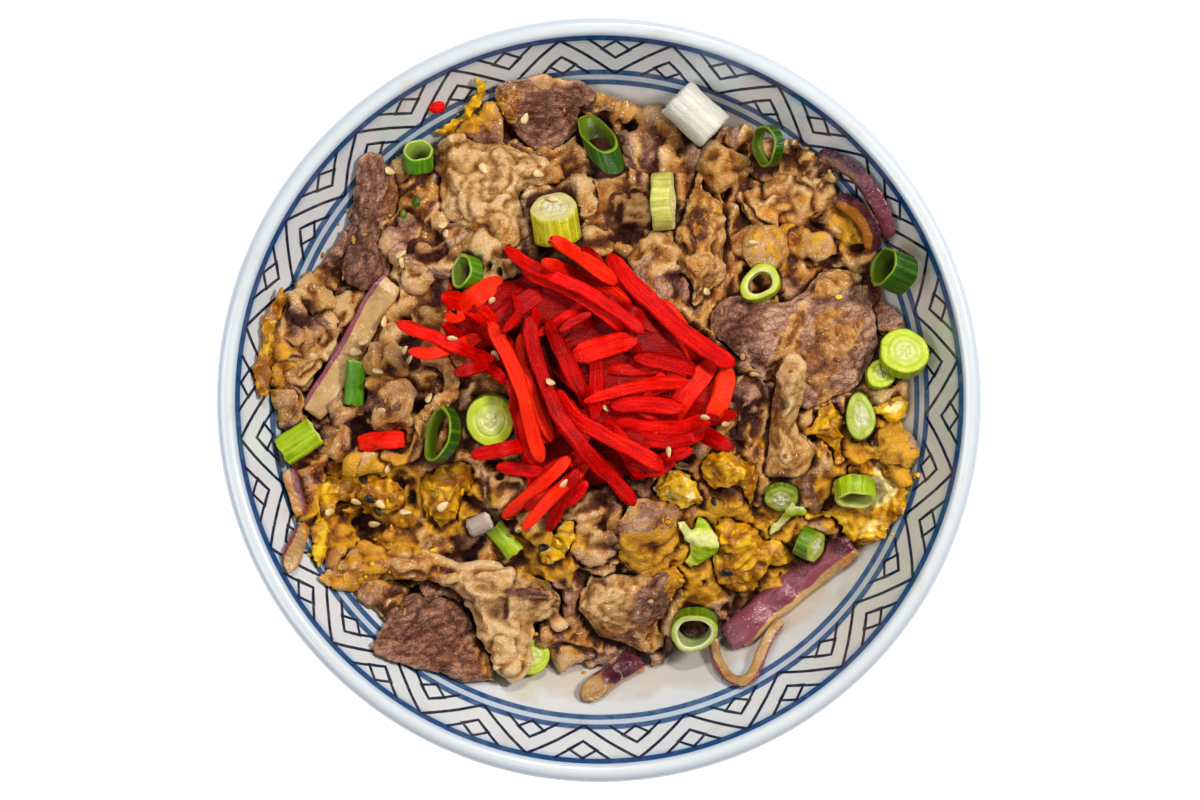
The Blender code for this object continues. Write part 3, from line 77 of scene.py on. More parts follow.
@dataclass(frozen=True)
class Wire:
    """A value inside a material. Python's arithmetic on it adds Math nodes."""

    graph: "Graph"
    socket: bpy.types.NodeSocket

    def math(self, operation: str, *values: "Value") -> "Wire":
        """Adds a Math node on this value and the ones after it."""
        return self.graph.node("ShaderNodeMath", {"operation": operation}, [self, *values])

    def __add__(self, other: "Value") -> "Wire":
        """This value plus another."""
        return self.math("ADD", other)

    def __radd__(self, other: "Value") -> "Wire":
        """Another value plus this one."""
        return self.math("ADD", other)

    def __sub__(self, other: "Value") -> "Wire":
        """This value minus another."""
        return self.math("SUBTRACT", other)

    def __rsub__(self, other: "Value") -> "Wire":
        """Another value minus this one."""
        return self.graph.node("ShaderNodeMath", {"operation": "SUBTRACT"}, [other, self])

    def __mul__(self, other: "Value") -> "Wire":
        """This value times another."""
        return self.math("MULTIPLY", other)

    def __rmul__(self, other: "Value") -> "Wire":
        """Another value times this one."""
        return self.math("MULTIPLY", other)

    def __truediv__(self, other: "Value") -> "Wire":
        """This value over another."""
        return self.math("DIVIDE", other)

    def __pow__(self, other: "Value") -> "Wire":
        """This value to a power."""
        return self.math("POWER", other)

    def __mod__(self, other: "Value") -> "Wire":
        """What is left of this value over another, always positive."""
        return self.math("FLOORED_MODULO", other)

    def __abs__(self) -> "Wire":
        """This value without its sign."""
        return self.math("ABSOLUTE")

    def least(self, other: "Value") -> "Wire":
        """The smaller of this value and another."""
        return self.math("MINIMUM", other)

    def most(self, other: "Value") -> "Wire":
        """The larger of this value and another."""
        return self.math("MAXIMUM", other)

    def rise(self, low: float, high: float) -> "Wire":
        """Zero up to low, one from high, and a smooth step between. Falls where low is the higher."""
        settings = {"interpolation_type": "SMOOTHSTEP", "clamp": True}
        return self.graph.node("ShaderNodeMapRange", settings, [self, low, high])


Value = Union[Wire, float, Colour]


class Graph:
    """The nodes of one material."""

    def __init__(self, name: str) -> None:
        """Starts an empty material.

        Args:
            name: The material's name.
        """
        self.material = bpy.data.materials.new(name)
        self.material.use_nodes = True
        self.tree = self.material.node_tree
        self.tree.nodes.clear()

    def node(self, kind: str, settings: dict, inputs: Union[dict, Sequence],
             output: Union[int, str] = 0) -> Wire:
        """Adds a node.

        Args:
            kind: The node's type.
            settings: Its properties, set before its sockets. "stops" holds a ramp's colour stops.
            inputs: Values or links by socket name, or in the order of the sockets.
            output: The output socket to hand back.

        Returns:
            The node's output.
        """
        made = self.tree.nodes.new(kind)
        for key, value in settings.items():
            if key == "stops":
                self.set_stops(made.color_ramp, value)
            else:
                setattr(made, key, value)
        for key, value in inputs.items() if isinstance(inputs, dict) else enumerate(inputs):
            self.feed(made.inputs[key], value)
        return Wire(self, made.outputs[output] if len(made.outputs) else None)

    def feed(self, socket: bpy.types.NodeSocket, value: Value) -> None:
        """Links a wire to a socket, or sets the socket's own value.

        Args:
            socket: The input socket.
            value: What it gets.
        """
        if isinstance(value, Wire):
            self.tree.links.new(value.socket, socket)
        elif socket.type == "RGBA":
            socket.default_value = (*value[:3], 1.0)
        else:
            socket.default_value = value

    @staticmethod
    def set_stops(ramp: bpy.types.ColorRamp, stops: Sequence[tuple[float, Colour]]) -> None:
        """Gives a colour ramp its stops.

        Args:
            ramp: The ramp.
            stops: The place and colour of each stop.
        """
        while len(ramp.elements) < len(stops):
            ramp.elements.new(1.0)
        for element, (place, colour) in zip(ramp.elements, stops):
            element.position = place
            element.color = (*colour, 1.0)

    def scaled(self, vector: Wire, factor: float) -> Wire:
        """A vector times a number."""
        return self.node("ShaderNodeVectorMath", {"operation": "SCALE"}, {"Vector": vector, "Scale": factor})

    def stretched(self, vector: Wire, factors: Colour) -> Wire:
        """A vector with each part times its own number."""
        return self.node("ShaderNodeVectorMath", {"operation": "MULTIPLY"}, [vector, factors])

    def place(self) -> Wire:
        """Where a point of the surface is, in millimetres."""
        return self.scaled(self.node("ShaderNodeTexCoord", {}, {}, "Object"), 1 / MM)

    def part(self, vector: Wire, axis: int) -> Wire:
        """One part of a vector."""
        return self.node("ShaderNodeSeparateXYZ", {}, [vector], axis)

    def painted(self, name: str) -> Wire:
        """A number that the mesh holds at each point."""
        return self.node("ShaderNodeAttribute", {"attribute_name": name}, {}, "Fac")

    def painted_vector(self, name: str) -> Wire:
        """A vector that the mesh holds at each point."""
        return self.node("ShaderNodeAttribute", {"attribute_name": name}, {}, "Vector")

    def noise(self, vector: Wire, length: float, detail: float = 2.0, twist: float = 0.0) -> Wire:
        """Noise from 0 to 1, in lumps about one length apart."""
        inputs = {"Vector": vector, "Scale": 1 / length, "Detail": detail, "Distortion": twist}
        return self.node("ShaderNodeTexNoise", {}, inputs)

    def cells(self, vector: Wire, length: float, feature: str = "F1") -> Wire:
        """Distance to the nearest of points that are about one length apart."""
        inputs = {"Vector": vector, "Scale": 1 / length}
        return self.node("ShaderNodeTexVoronoi", {"feature": feature}, inputs)

    def mix(self, share: Value, first: Value, second: Value, how: str = "MIX") -> Wire:
        """The first colour, turning into the second as the share goes from 0 to 1."""
        settings = {"data_type": "RGBA", "blend_type": how}
        return self.node("ShaderNodeMix", settings, {0: share, 6: first, 7: second}, 2)

    def ramp(self, value: Wire, stops: Sequence[tuple[float, Colour]]) -> Wire:
        """A colour that follows a value."""
        return self.node("ShaderNodeValToRGB", {"stops": stops}, [value])

    def bump(self, height: Wire, depth: float) -> Wire:
        """A normal for relief of a depth in millimetres, from a height that goes from 0 to 1."""
        return self.node("ShaderNodeBump", {}, {"Strength": 1.0, "Distance": depth * MM, "Height": height})

    def surface(self, values: dict[str, Value]) -> bpy.types.Material:
        """Ends the material in a Principled shader with these values on its sockets.

        Args:
            values: What the sockets get, by their names.

        Returns:
            The finished material.
        """
        shader = self.node("ShaderNodeBsdfPrincipled", {}, values)
        self.node("ShaderNodeOutputMaterial", {}, {"Surface": shader})
        return self.material


def screen(red: float, green: float, blue: float) -> Colour:
    """A linear colour from the levels, 0 to 255, with which a screen shows it.

    Args:
        red, green, blue: The levels.

    Returns:
        The colour as shaders take it.
    """
    levels = np.array((red, green, blue)) / 255
    linear = np.where(levels <= 0.04045, levels / 12.92, ((levels + 0.055) / 1.055) ** 2.4)
    return tuple(float(level) for level in linear)


def smooth(values: Array, low: float, high: float) -> Array:
    """Zero up to low, one from high, and a smooth step between."""
    share = np.clip((values - low) / (high - low), 0, 1)
    return share * share * (3 - 2 * share)


def scatter(cells: Array, seed: int) -> Array:
    """A repeatable number between -1 and 1 for each lattice point.

    Args:
        cells: Whole numbers, three in a row for each point.
        seed: Picks the series.

    Returns:
        The numbers, one for each row.
    """
    mixed = cells[..., 0] * 374761393 + cells[..., 1] * 668265263 + cells[..., 2] * 1442695041
    mixed = (mixed + seed * 97531357) & 0xFFFFFFFF
    mixed = ((mixed ^ (mixed >> 13)) * 1274126177) & 0xFFFFFFFF
    mixed = ((mixed ^ (mixed >> 15)) * 1103515245) & 0xFFFFFFFF
    return (mixed ^ (mixed >> 16)) / 2147483647.5 - 1


def waves(points: Array, length: float, seed: int) -> Array:
    """Smooth noise between -1 and 1 with waves of a given length.

    Args:
        points: Where it is wanted.
        length: The waves' length.
        seed: Picks the pattern.

    Returns:
        One value for each point.
    """
    place = points / length + seed * 0.37
    cell = np.floor(place).astype(np.int64)
    share = place - cell
    share = share**3 * (share * (share * 6 - 15) + 10)
    total = np.zeros(len(points))
    for corner in itertools.product((0, 1), repeat=3):
        weight = np.prod(np.where(corner, share, 1 - share), axis=1)
        total += weight * scatter(cell + np.array(corner), seed)
    return total


def drifts(points: Array, length: float, seed: int) -> Array:
    """Smooth noise as waves gives it, along each of the three axes."""
    return np.stack([waves(points, length, seed + axis) for axis in range(3)], axis=1)


def lumps(points: Array, length: float, seed: int) -> Array:
    """Rounded lumps about one length across: 1 on their tops and 0 in the creases between them.

    Args:
        points: Where they are wanted.
        length: Their width.
        seed: Picks the pattern.

    Returns:
        One value for each point.
    """
    place = points / length
    cell = np.floor(place).astype(np.int64)
    nearest = np.full(len(points), 9.0)
    second = np.full(len(points), 9.0)
    for step in itertools.product((-1, 0, 1), repeat=3):
        near = cell + np.array(step)
        shift = np.stack([scatter(near, seed + 5 * axis) for axis in range(3)], axis=1)
        away = ((place - near - 0.5 - 0.42 * shift) ** 2).sum(axis=1)
        second = np.minimum(second, np.maximum(nearest, away))
        nearest = np.minimum(nearest, away)
    gap = np.clip((np.sqrt(second) - np.sqrt(nearest)) / 0.75, 0, 1)
    return 1 - (1 - gap) ** 2


def billow(points: Array, length: float, seed: int) -> Array:
    """Pillows about a length wide with sharp creases between them, 0 in the creases and 1 on top."""
    return np.minimum(np.abs(waves(points, length, seed)) / 0.5, 1) ** 0.75


def line_distance(points: Array, path: Sequence[Point]) -> tuple[Array, Array]:
    """How far points lie to the left of a line in plan, and how far along it.

    Args:
        points: Points, of which X and Y are used.
        path: The line's corners.

    Returns:
        The distance, negative on the right, and the share of the line's length, from 0 to 1.
    """
    line = np.array(path, dtype=float)
    steps = np.diff(line, axis=0)
    lengths = np.linalg.norm(steps, axis=1)
    starts = np.concatenate([[0.0], np.cumsum(lengths)])
    best = np.full(len(points), 1e9)
    side = np.zeros(len(points))
    along = np.zeros(len(points))
    for start, step, length, done in zip(line, steps, lengths, starts):
        offset = points[:, :2] - start
        share = np.clip(offset @ step / length**2, 0, 1)
        away = np.linalg.norm(offset - share[:, None] * step, axis=1)
        nearer = away < best
        turn = np.sign(step[0] * offset[:, 1] - step[1] * offset[:, 0])
        side[nearer] = (away * turn)[nearer]
        along[nearer] = ((done + share * length) / starts[-1])[nearer]
        best[nearer] = away[nearer]
    return side, along


def band_faces(rings: int, sides: int, start: int = 0, closed: bool = False) -> list[tuple[int, ...]]:
    """Faces between rings of points that follow each other.

    Args:
        rings: How many rings there are.
        sides: How many points each has.
        start: The number of the first point.
        closed: Whether the last ring also joins the first.

    Returns:
        The corners of each face.
    """
    faces = []
    for ring in range(rings if closed else rings - 1):
        a, b = start + ring * sides, start + (ring + 1) % rings * sides
        faces += [(a + k, b + k, b + (k + 1) % sides, a + (k + 1) % sides) for k in range(sides)]
    return faces


def cap_faces(rings: int, sides: int) -> list[tuple[int, ...]]:
    """The faces that close the two ends of a tube of rings."""
    return [tuple(range(sides)), tuple(reversed(range((rings - 1) * sides, rings * sides)))]


def ball(rings: int, sides: int) -> Array:
    """Points of a ball of radius 1, in rings from its top to its bottom.

    Args:
        rings: How many rings there are, the two poles among them.
        sides: How many points each has.

    Returns:
        The points.
    """
    polar = np.linspace(0, math.pi, rings)
    turn = 2 * np.pi * np.arange(sides) / sides
    polar, turn = np.meshgrid(polar, turn, indexing="ij")
    wide = np.sin(polar)
    return np.stack([wide * np.cos(turn), wide * np.sin(turn), np.cos(polar)], axis=-1).reshape(-1, 3)


def merged(forms: Iterable[Form]) -> Form:
    """Several forms as one.

    Args:
        forms: The points and faces of each.

    Returns:
        The points and faces of all.
    """
    points, faces, start = [], [], 0
    for own_points, own_faces in forms:
        points.append(own_points)
        faces += [tuple(corner + start for corner in face) for face in own_faces]
        start += len(own_points)
    return np.concatenate(points), faces


class Relief:
    """The highest surface over each spot of the plan, on a square grid."""

    CELL = 0.5
    REACH = 102.0

    def __init__(self, level: float = -1.0) -> None:
        """Starts a grid that is flat at a level."""
        count = int(2 * self.REACH / self.CELL) + 1
        self.height = np.full((count, count), level)

    def spot(self, plan: Array) -> tuple[Array, Array]:
        """The grid's rows and columns nearest to points."""
        index = np.rint((plan[:, :2] + self.REACH) / self.CELL).astype(int)
        return tuple(np.clip(index, 0, len(self.height) - 1).T)

    def at(self, plan: Array) -> Array:
        """The surface's height at points."""
        return self.height[self.spot(plan)]

    def raise_to(self, points: Array) -> None:
        """Raises the grid to points of a surface whose points lie closer than a cell."""
        np.maximum.at(self.height, self.spot(points), points[:, 2])

    def raise_to_triangles(self, points: Array, triangles: Array) -> None:
        """Raises the grid to triangles of any size, sampled closely.

        Args:
            points: The corners.
            triangles: Three numbers of corners for each triangle.
        """
        for a, b, c in points[triangles]:
            longest = max(np.linalg.norm(b - a), np.linalg.norm(c - a), np.linalg.norm(c - b))
            count = int(longest / self.CELL * 1.5) + 2
            u, v = np.meshgrid(np.linspace(0, 1, count), np.linspace(0, 1, count))
            keep = u + v <= 1.0001
            u, v = u[keep][:, None], v[keep][:, None]
            self.raise_to(a + (b - a) * u + (c - a) * v)

    def blurred(self, reach: float) -> "Relief":
        """The same surface, smoothed over a reach.

        Args:
            reach: How far it is smoothed.

        Returns:
            The smoothed surface.
        """
        soft = Relief()
        height = self.height
        count = max(1, round(reach / self.CELL / 1.7))
        window = np.ones(2 * count + 1) / (2 * count + 1)
        for _ in range(2):
            for axis in (0, 1):
                height = np.apply_along_axis(np.convolve, axis, height, window, "same")
        soft.height = height
        return soft

    def slope(self, plan: Array, reach: float) -> Array:
        """The surface's upward normal at points, over a reach.

        Args:
            plan: The points.
            reach: Half the distance over which the slope is taken.

        Returns:
            One direction for each point.
        """
        east, north = np.array((reach, 0.0)), np.array((0.0, reach))
        rise_x = (self.at(plan[:, :2] + east) - self.at(plan[:, :2] - east)) / (2 * reach)
        rise_y = (self.at(plan[:, :2] + north) - self.at(plan[:, :2] - north)) / (2 * reach)
        normal = np.stack([-rise_x, -rise_y, np.ones(len(rise_x))], axis=1)
        return normal / np.linalg.norm(normal, axis=1)[:, None]


class Shell:
    """A mesh that is still being shaped: its points in millimetres, and numbers painted on them."""

    def __init__(self, mesh: bpy.types.Mesh) -> None:
        """Takes over a mesh whose points are in millimetres.

        Args:
            mesh: The mesh.
        """
        self.mesh = mesh
        self.points = np.zeros(len(mesh.vertices) * 3)
        mesh.vertices.foreach_get("co", self.points)
        self.points = self.points.reshape(-1, 3)
        self.paint: dict[str, Array] = {}
        edges = np.zeros(len(mesh.edges) * 2, dtype=np.int32)
        mesh.edges.foreach_get("vertices", edges)
        self.edges = edges.reshape(-1, 2)

    @classmethod
    def of_arrays(cls, points: Array, faces: Sequence[Sequence[int]]) -> "Shell":
        """A shell from points in millimetres and its faces.

        Args:
            points: The points.
            faces: The corners of each face.

        Returns:
            The shell.
        """
        mesh = bpy.data.meshes.new("shell")
        mesh.from_pydata(points.tolist(), [], faces)
        mesh.update()
        return cls(mesh)

    @classmethod
    def of_node(cls, name: str, grain: float, additions: Iterable[Form] = ()) -> "Shell":
        """A closely and evenly meshed copy of a CAD node, one with whatever is added to it.

        Args:
            name: The node's name.
            grain: The width of its new faces.
            additions: Closed forms to merge with it.

        Returns:
            The copy.
        """
        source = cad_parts[name].data
        points = np.zeros(len(source.vertices) * 3)
        source.vertices.foreach_get("co", points)
        points = points.reshape(-1, 3) / MM
        points, faces = merged([(points, [tuple(face.vertices) for face in source.polygons]), *additions])
        rough = bpy.data.meshes.new("rough")
        rough.from_pydata(points.tolist(), [], faces)
        holder = bpy.data.objects.new("holder", rough)
        bpy.context.scene.collection.objects.link(holder)
        change = holder.modifiers.new("grain", "REMESH")
        change.mode = "VOXEL"
        change.voxel_size = grain
        bpy.context.view_layer.update()
        remeshed = holder.evaluated_get(bpy.context.evaluated_depsgraph_get())
        fine = bpy.data.meshes.new_from_object(remeshed)
        bpy.data.objects.remove(holder)
        bpy.data.meshes.remove(rough)
        fine.materials.clear()
        return cls(fine)

    def normals(self) -> Array:
        """The outward direction at each point.

        Returns:
            The directions.
        """
        self.mesh.vertices.foreach_set("co", self.points.ravel())
        self.mesh.update()
        normals = np.zeros(len(self.points) * 3)
        self.mesh.vertices.foreach_get("normal", normals)
        return normals.reshape(-1, 3)

    def spread(self, values: Array, times: int) -> Array:
        """Values at the points, each time averaged with those of their neighbours.

        Args:
            values: One value or row for each point.
            times: How often.

        Returns:
            The averaged values.
        """
        count = len(self.points)
        a, b = self.edges.T
        links = np.bincount(a, minlength=count) + np.bincount(b, minlength=count)
        columns = values.reshape(count, -1)
        for _ in range(times):
            total = np.stack([
                np.bincount(a, column[b], count) + np.bincount(b, column[a], count) for column in columns.T
            ], axis=1)
            columns = 0.5 * columns + 0.5 * total / np.maximum(links, 1)[:, None]
        return columns.reshape(values.shape)

    def soften(self, times: int) -> None:
        """Rounds off the shape."""
        self.points = self.spread(self.points, times)

    def push(self, heights: Array) -> None:
        """Moves each point outward by a height."""
        self.points = self.points + self.normals() * heights[:, None]

    def crest(self, times: int, drop: float) -> Array:
        """Where points stand out from those around them, from 0 in a crease of a depth to 1 on a ridge."""
        standing = ((self.points - self.spread(self.points, times)) * self.normals()).sum(axis=1)
        return smooth(standing, -drop, drop)

    def finish(self, name: str, material: bpy.types.Material, slot: Slot, nodes: Iterable[str],
               sharp: float = 180.0) -> bpy.types.Object:
        """Turns the shell into a piece of the scene.

        Args:
            name: The piece's name.
            material: Its finish.
            slot: The slot of the record that it belongs to. Not used.
            nodes: The CAD nodes that it stands for.
            sharp: The angle in degrees from which an edge stays crisp.

        Returns:
            The piece.
        """
        mesh = self.mesh
        mesh.name = name
        mesh.vertices.foreach_set("co", (self.points * MM).ravel())
        for key, values in self.paint.items():
            kind = "FLOAT_VECTOR" if values.ndim == 2 else "FLOAT"
            layer = mesh.attributes.new(key, kind, "POINT")
            held = "vector" if values.ndim == 2 else "value"
            layer.data.foreach_set(held, values.astype(np.float32).ravel())
        mesh.polygons.foreach_set("use_smooth", np.ones(len(mesh.polygons), dtype=bool))
        if sharp < 180:
            mesh.set_sharp_from_angle(angle=math.radians(sharp))
        mesh.update()
        mesh.materials.append(material)
        piece = bpy.data.objects.new(name, mesh)
        bpy.context.scene.collection.objects.link(piece)
        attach(piece, "root")
        nodes = list(nodes)
        if nodes:
            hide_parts(*nodes)
        LOG.info("%s: %d faces", name, len(mesh.polygons))
        return piece


@dataclass
class Table:
    """What the food is laid on while it is dressed: the heights of the solids and of the finished pieces."""

    solid: Relief
    around: Relief
    dressed: Relief

    @classmethod
    def of_frame(cls) -> "Table":
        """Reads the heights of all CAD nodes.

        Returns:
            The table before any food is dressed.
        """
        solid = Relief()
        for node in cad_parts.values():
            cls.add_node(solid, node)
        return cls(solid, solid.blurred(4.0), Relief())

    @staticmethod
    def add_node(relief: Relief, node: bpy.types.Object) -> None:
        """Raises a relief to one CAD node.

        Args:
            relief: The relief.
            node: The node's object.
        """
        mesh = node.data
        mesh.calc_loop_triangles()
        points = np.zeros(len(mesh.vertices) * 3)
        mesh.vertices.foreach_get("co", points)
        triangles = np.zeros(len(mesh.loop_triangles) * 3, dtype=np.int32)
        mesh.loop_triangles.foreach_get("vertices", triangles)
        relief.raise_to_triangles(points.reshape(-1, 3) / MM, triangles.reshape(-1, 3))

    @staticmethod
    def gold(points: Array) -> Array:
        """How much scrambled egg is smeared over the food at points."""
        stray = 0.3 * waves(points, 5.0, 41)
        return np.max([patch.mark * patch.share(points, stray) for patch in GOLD_PATCHES], axis=0)

    def depth(self, points: Array) -> Array:
        """How far points lie under the food around them, from 0 at the top to 1 in a deep crevice: the
        materials paint shade with it.
        """
        return smooth(self.around.at(points) - points[:, 2], 0.5, 7.5)


@dataclass(frozen=True)
class Porcelain:
    """White glaze with a blue fret inside the rim, as radii in millimetres from the bowl's axis."""

    white: Colour = screen(224, 228, 231)
    ink: Colour = screen(8, 34, 66)
    rings: Colour = screen(8, 78, 132)
    rim_ring: float = 94.4
    outer: float = 94.2
    inner: float = 85.8
    ring_pair: tuple[float, float] = (83.75, 86.15)
    repeats: int = 20
    start: float = 6.3

    def stroke(self, away: Wire, width: float) -> Wire:
        """A brush line of a width, where a distance from it is given."""
        return abs(away).rise(width / 2 + 0.16, width / 2 - 0.02)

    def fret(self, graph: Graph, turn: Wire, share: Wire) -> Wire:
        """The zigzag with a chevron and a diamond in each triangle.

        Args:
            graph: The material.
            turn: The angle within one repeat, as a distance in degrees from the nearest peak.
            share: How far across the band, from 0 at its inner edge to 1 at its outer one.

        Returns:
            One on the lines and zero between them.
        """
        period = 360 / self.repeats
        wide = math.radians(1) * (self.outer + self.inner) / 2
        tall = self.outer - self.inner
        lines = self.chevron(turn * wide, share * tall, tall, -tall / (period / 2 * wide), 0.56)
        for sign, across in ((1.0, turn), (-1.0, period / 2 - turn)):
            level = share if sign > 0 else 1 - share
            x, y = across * wide, level * tall
            arms = self.chevron(x, y, 0.53 * tall, -0.53 * tall / (4.6 * wide), 0.5)
            arms = arms * x.rise(4.75 * wide, 4.6 * wide) * y.rise(0.0, 0.1)
            low = self.chevron(x, y, 0.05 * tall, 0.235 * tall / (2.25 * wide), 0.48)
            low = low * y.rise(0.295 * tall, 0.28 * tall)
            high = self.chevron(x, y, 0.53 * tall, -0.235 * tall / (2.25 * wide), 0.48)
            high = high * y.rise(0.275 * tall, 0.29 * tall)
            lines = lines.most(arms).most(low).most(high)
        return lines

    def chevron(self, x: Wire, y: Wire, top: float, slope: float, width: float) -> Wire:
        """A pair of strokes that run from a point to both sides, on plan distances x without a sign."""
        return self.stroke((y - top - x * slope) / math.hypot(slope, 1.0), width)

    def material(self) -> bpy.types.Material:
        """The glaze of the bowl.

        Returns:
            The material.
        """
        graph = Graph("porcelain_glaze")
        place = graph.place()
        x, y, z = (graph.part(place, axis) for axis in range(3))
        radius = (x * x + y * y) ** 0.5
        angle = y.math("ARCTAN2", x) * math.degrees(1)
        period = 360 / self.repeats
        turn = abs((angle - self.start + period / 2) % period - period / 2)
        wander = (graph.noise(place, 9.0, 2.0) - 0.5) * 0.35
        share = (radius + wander - self.inner) / (self.outer - self.inner)
        ground = z.rise(60.0, 61.0) * share.rise(-0.015, 0.005) * share.rise(1.02, 1.0)
        fret = self.fret(graph, turn, share) * ground
        fade = graph.noise(place, 2.4, 3.0)
        ink_share = fret * (0.82 + fade * 0.35)
        inside = z.rise(40.0, 42.0)
        ring = self.stroke(radius + wander * 0.3 - self.rim_ring, 1.05) * z.rise(70.0, 71.0)
        for middle in self.ring_pair:
            ring = ring.most(self.stroke(radius + wander * 0.3 - middle, 1.1) * inside * 0.9)
        ring = ring * (0.8 + fade * 0.4)
        inner_face = self.inner_face(radius, z)
        halo = abs(radius - self.rim_ring).rise(1.9, 0.3) * 0.5
        pair = sum(self.ring_pair) / 2
        halo = halo.most(abs(radius - pair).rise(2.6, 0.8) * inside * 0.3)
        body = graph.mix(graph.noise(place, 38.0, 1.0), self.white, screen(216, 220, 222))
        # Painted shade: the lip's outer curve turns bluish grey, and the outside of the bowl below the lip
        # turns grey.
        body = graph.mix(radius.rise(96.6, 99.6) * 0.8, body, screen(194, 204, 214))
        body = graph.mix((1.0 - inner_face) * radius.rise(97.0, 94.0), body, screen(190, 197, 203))
        body = graph.mix((halo * inner_face).least(1.0), body, screen(112, 165, 208))
        splash = (graph.noise(place, 11.0, 3.0) + radius.rise(86.0, 74.0) * 0.35 - 0.55).rise(0.0, 0.3)
        body = graph.mix(splash * inner_face * 0.35, body, screen(226, 178, 110), "MULTIPLY")
        # Painted shade with a warm painted reflection of the food: the inner wall darkens and warms towards
        # the right side, most just below its middle.
        warm = (x * 0.014 - abs(y + 25.0) * 0.008 - 0.1).rise(0.0, 0.9)
        warm = warm * radius.rise(97.0, 94.0) * inner_face
        body = graph.mix(warm * 0.6, body, screen(226, 212, 184), "MULTIPLY")
        specks = graph.cells(place, 16.0).rise(0.05, 0.03) * graph.noise(place, 30.0, 0.0).rise(0.55, 0.62)
        body = graph.mix(specks * 0.55, body, screen(150, 150, 148))
        body = graph.mix((ring * inner_face).least(1.0), body, self.rings)
        body = graph.mix((ink_share * inner_face).least(1.0), body, self.ink)
        pits = graph.noise(place, 5.0, 3.0) * 0.6 + graph.noise(place, 1.1, 1.0) * 0.4
        return graph.surface({
            "Base Color": body,
            "Roughness": 0.13 + graph.noise(place, 22.0, 2.0) * 0.07,
            "Normal": graph.bump(pits, 0.05),
            "Coat Weight": 0.6,
            "Coat Roughness": 0.06,
            "IOR": 1.5,
        })

    @staticmethod
    def inner_face(radius: Wire, z: Wire) -> Wire:
        """One on the bowl's inside and zero on its outside, told apart by the height over the wall."""
        inside = (radius / Bowl.inner_radius) ** Bowl.curve * (Bowl.top - Bowl.floor) + Bowl.floor
        return (z - inside + 2.2).rise(-0.3, 0.3)


@dataclass
class Bowl:
    """The turned porcelain bowl, as a closed profile of radii and heights."""

    sides: int = 288
    floor: float = 13.0
    top: float = 76.0
    inner_radius: float = 94.6
    curve: float = 2.156
    wall: float = 4.8
    base_wall: float = 6.0
    outer_top: float = 92.0
    outer_foot: float = 44.0
    lip: tuple[Point, ...] = (
        (94.9, 76.55), (95.4, 77.2), (96.1, 77.65), (97.0, 77.92), (97.8, 77.9), (98.6, 77.6), (99.3, 77.1),
        (99.8, 76.3), (99.93, 75.4), (99.4, 74.3), (98.0, 72.6), (96.2, 70.4), (94.2, 67.9),
    )
    foot: tuple[Point, ...] = (
        (43.9, 15.4), (43.4, 12.5), (43.1, 8.0), (43.0, 3.0), (43.0, 1.3), (42.7, 0.5), (42.1, 0.06),
        (41.2, 0.0), (40.2, 0.0), (39.2, 0.06), (38.75, 0.6), (38.55, 1.5), (38.1, 4.0), (37.8, 5.9),
        (37.2, 6.6), (34.0, 6.75), (20.0, 6.95), (8.0, 7.05), (0.0, 7.1),
    )

    def height(self, radius: float) -> float:
        """Height of the inner surface at a radius."""
        return self.floor + (self.top - self.floor) * (radius / self.inner_radius) ** self.curve

    def outside(self, radius: float) -> Point:
        """The point of the outer surface that is a wall's thickness from the inner one.

        Args:
            radius: The inner surface's radius there.

        Returns:
            The outer surface's radius and height.
        """
        slope = (self.height(radius) - self.floor) * self.curve / radius
        share = (radius - self.outer_foot) / (self.outer_top - self.outer_foot)
        scale = (self.base_wall + (self.wall - self.base_wall) * share) / math.hypot(slope, 1.0)
        return radius + slope * scale, self.height(radius) - scale

    def profile(self) -> list[Point]:
        """Half section, from the middle of the inside over the lip to the middle of the underside.

        Returns:
            Radii and heights.
        """
        inner = [(float(r), self.height(float(r))) for r in np.linspace(0, self.inner_radius, 40)]
        outer = [self.outside(float(r)) for r in np.linspace(90.0, self.outer_foot, 22)]
        return inner + list(self.lip) + outer + list(self.foot)

    def build(self) -> bpy.types.Object:
        """Turns the profile and glazes it.

        Returns:
            The piece.
        """
        profile = self.profile()
        rings = profile[1:-1]
        turns = 2 * np.pi * np.arange(self.sides) / self.sides
        points = [np.array([[0.0, 0.0, profile[0][1]]])]
        for radius, z in rings:
            circle = [radius * np.cos(turns), radius * np.sin(turns), np.full(self.sides, z)]
            points.append(np.stack(circle, axis=1))
        points.append(np.array([[0.0, 0.0, profile[-1][1]]]))
        count, last = self.sides, 1 + len(rings) * self.sides
        faces = [(0, 1 + k, 1 + (k + 1) % count) for k in range(count)]
        faces += band_faces(len(rings), count, 1)
        end = last - count
        faces += [(end + k, last, end + (k + 1) % count) for k in range(count)]
        shell = Shell.of_arrays(np.concatenate(points), faces)
        return shell.finish("bowl_glazed", Porcelain().material(), Slot.PORCELAIN, ["bowl"])


@dataclass(frozen=True)
class Patch:
    """An ellipse in plan where a piece looks different.

    It has a middle, half a length, half a width and a turn. mark is its share of the piece's second
    substance: fat in beef, white in egg, skin in onion. tone goes from 0, dark, to 1, pale.
    """

    x: float
    y: float
    long: float
    wide: float
    turn: float
    mark: float
    tone: float

    def share(self, points: Array, stray: Array) -> Array:
        """How much each point belongs to the patch, with an edge that wanders by a stray.

        Args:
            points: The points.
            stray: How far the edge wanders at each.

        Returns:
            A share from 0 to 1 for each point.
        """
        turn = math.radians(self.turn)
        x, y = points[:, 0] - self.x, points[:, 1] - self.y
        along = (x * math.cos(turn) + y * math.sin(turn)) / self.long
        across = (y * math.cos(turn) - x * math.sin(turn)) / self.wide
        return smooth(-np.hypot(along, across) + stray, -1.25, -0.75)


def seed_of(name: str) -> int:
    """A number for a piece's noise that follows from its name."""
    return sum(name.encode()) % 97


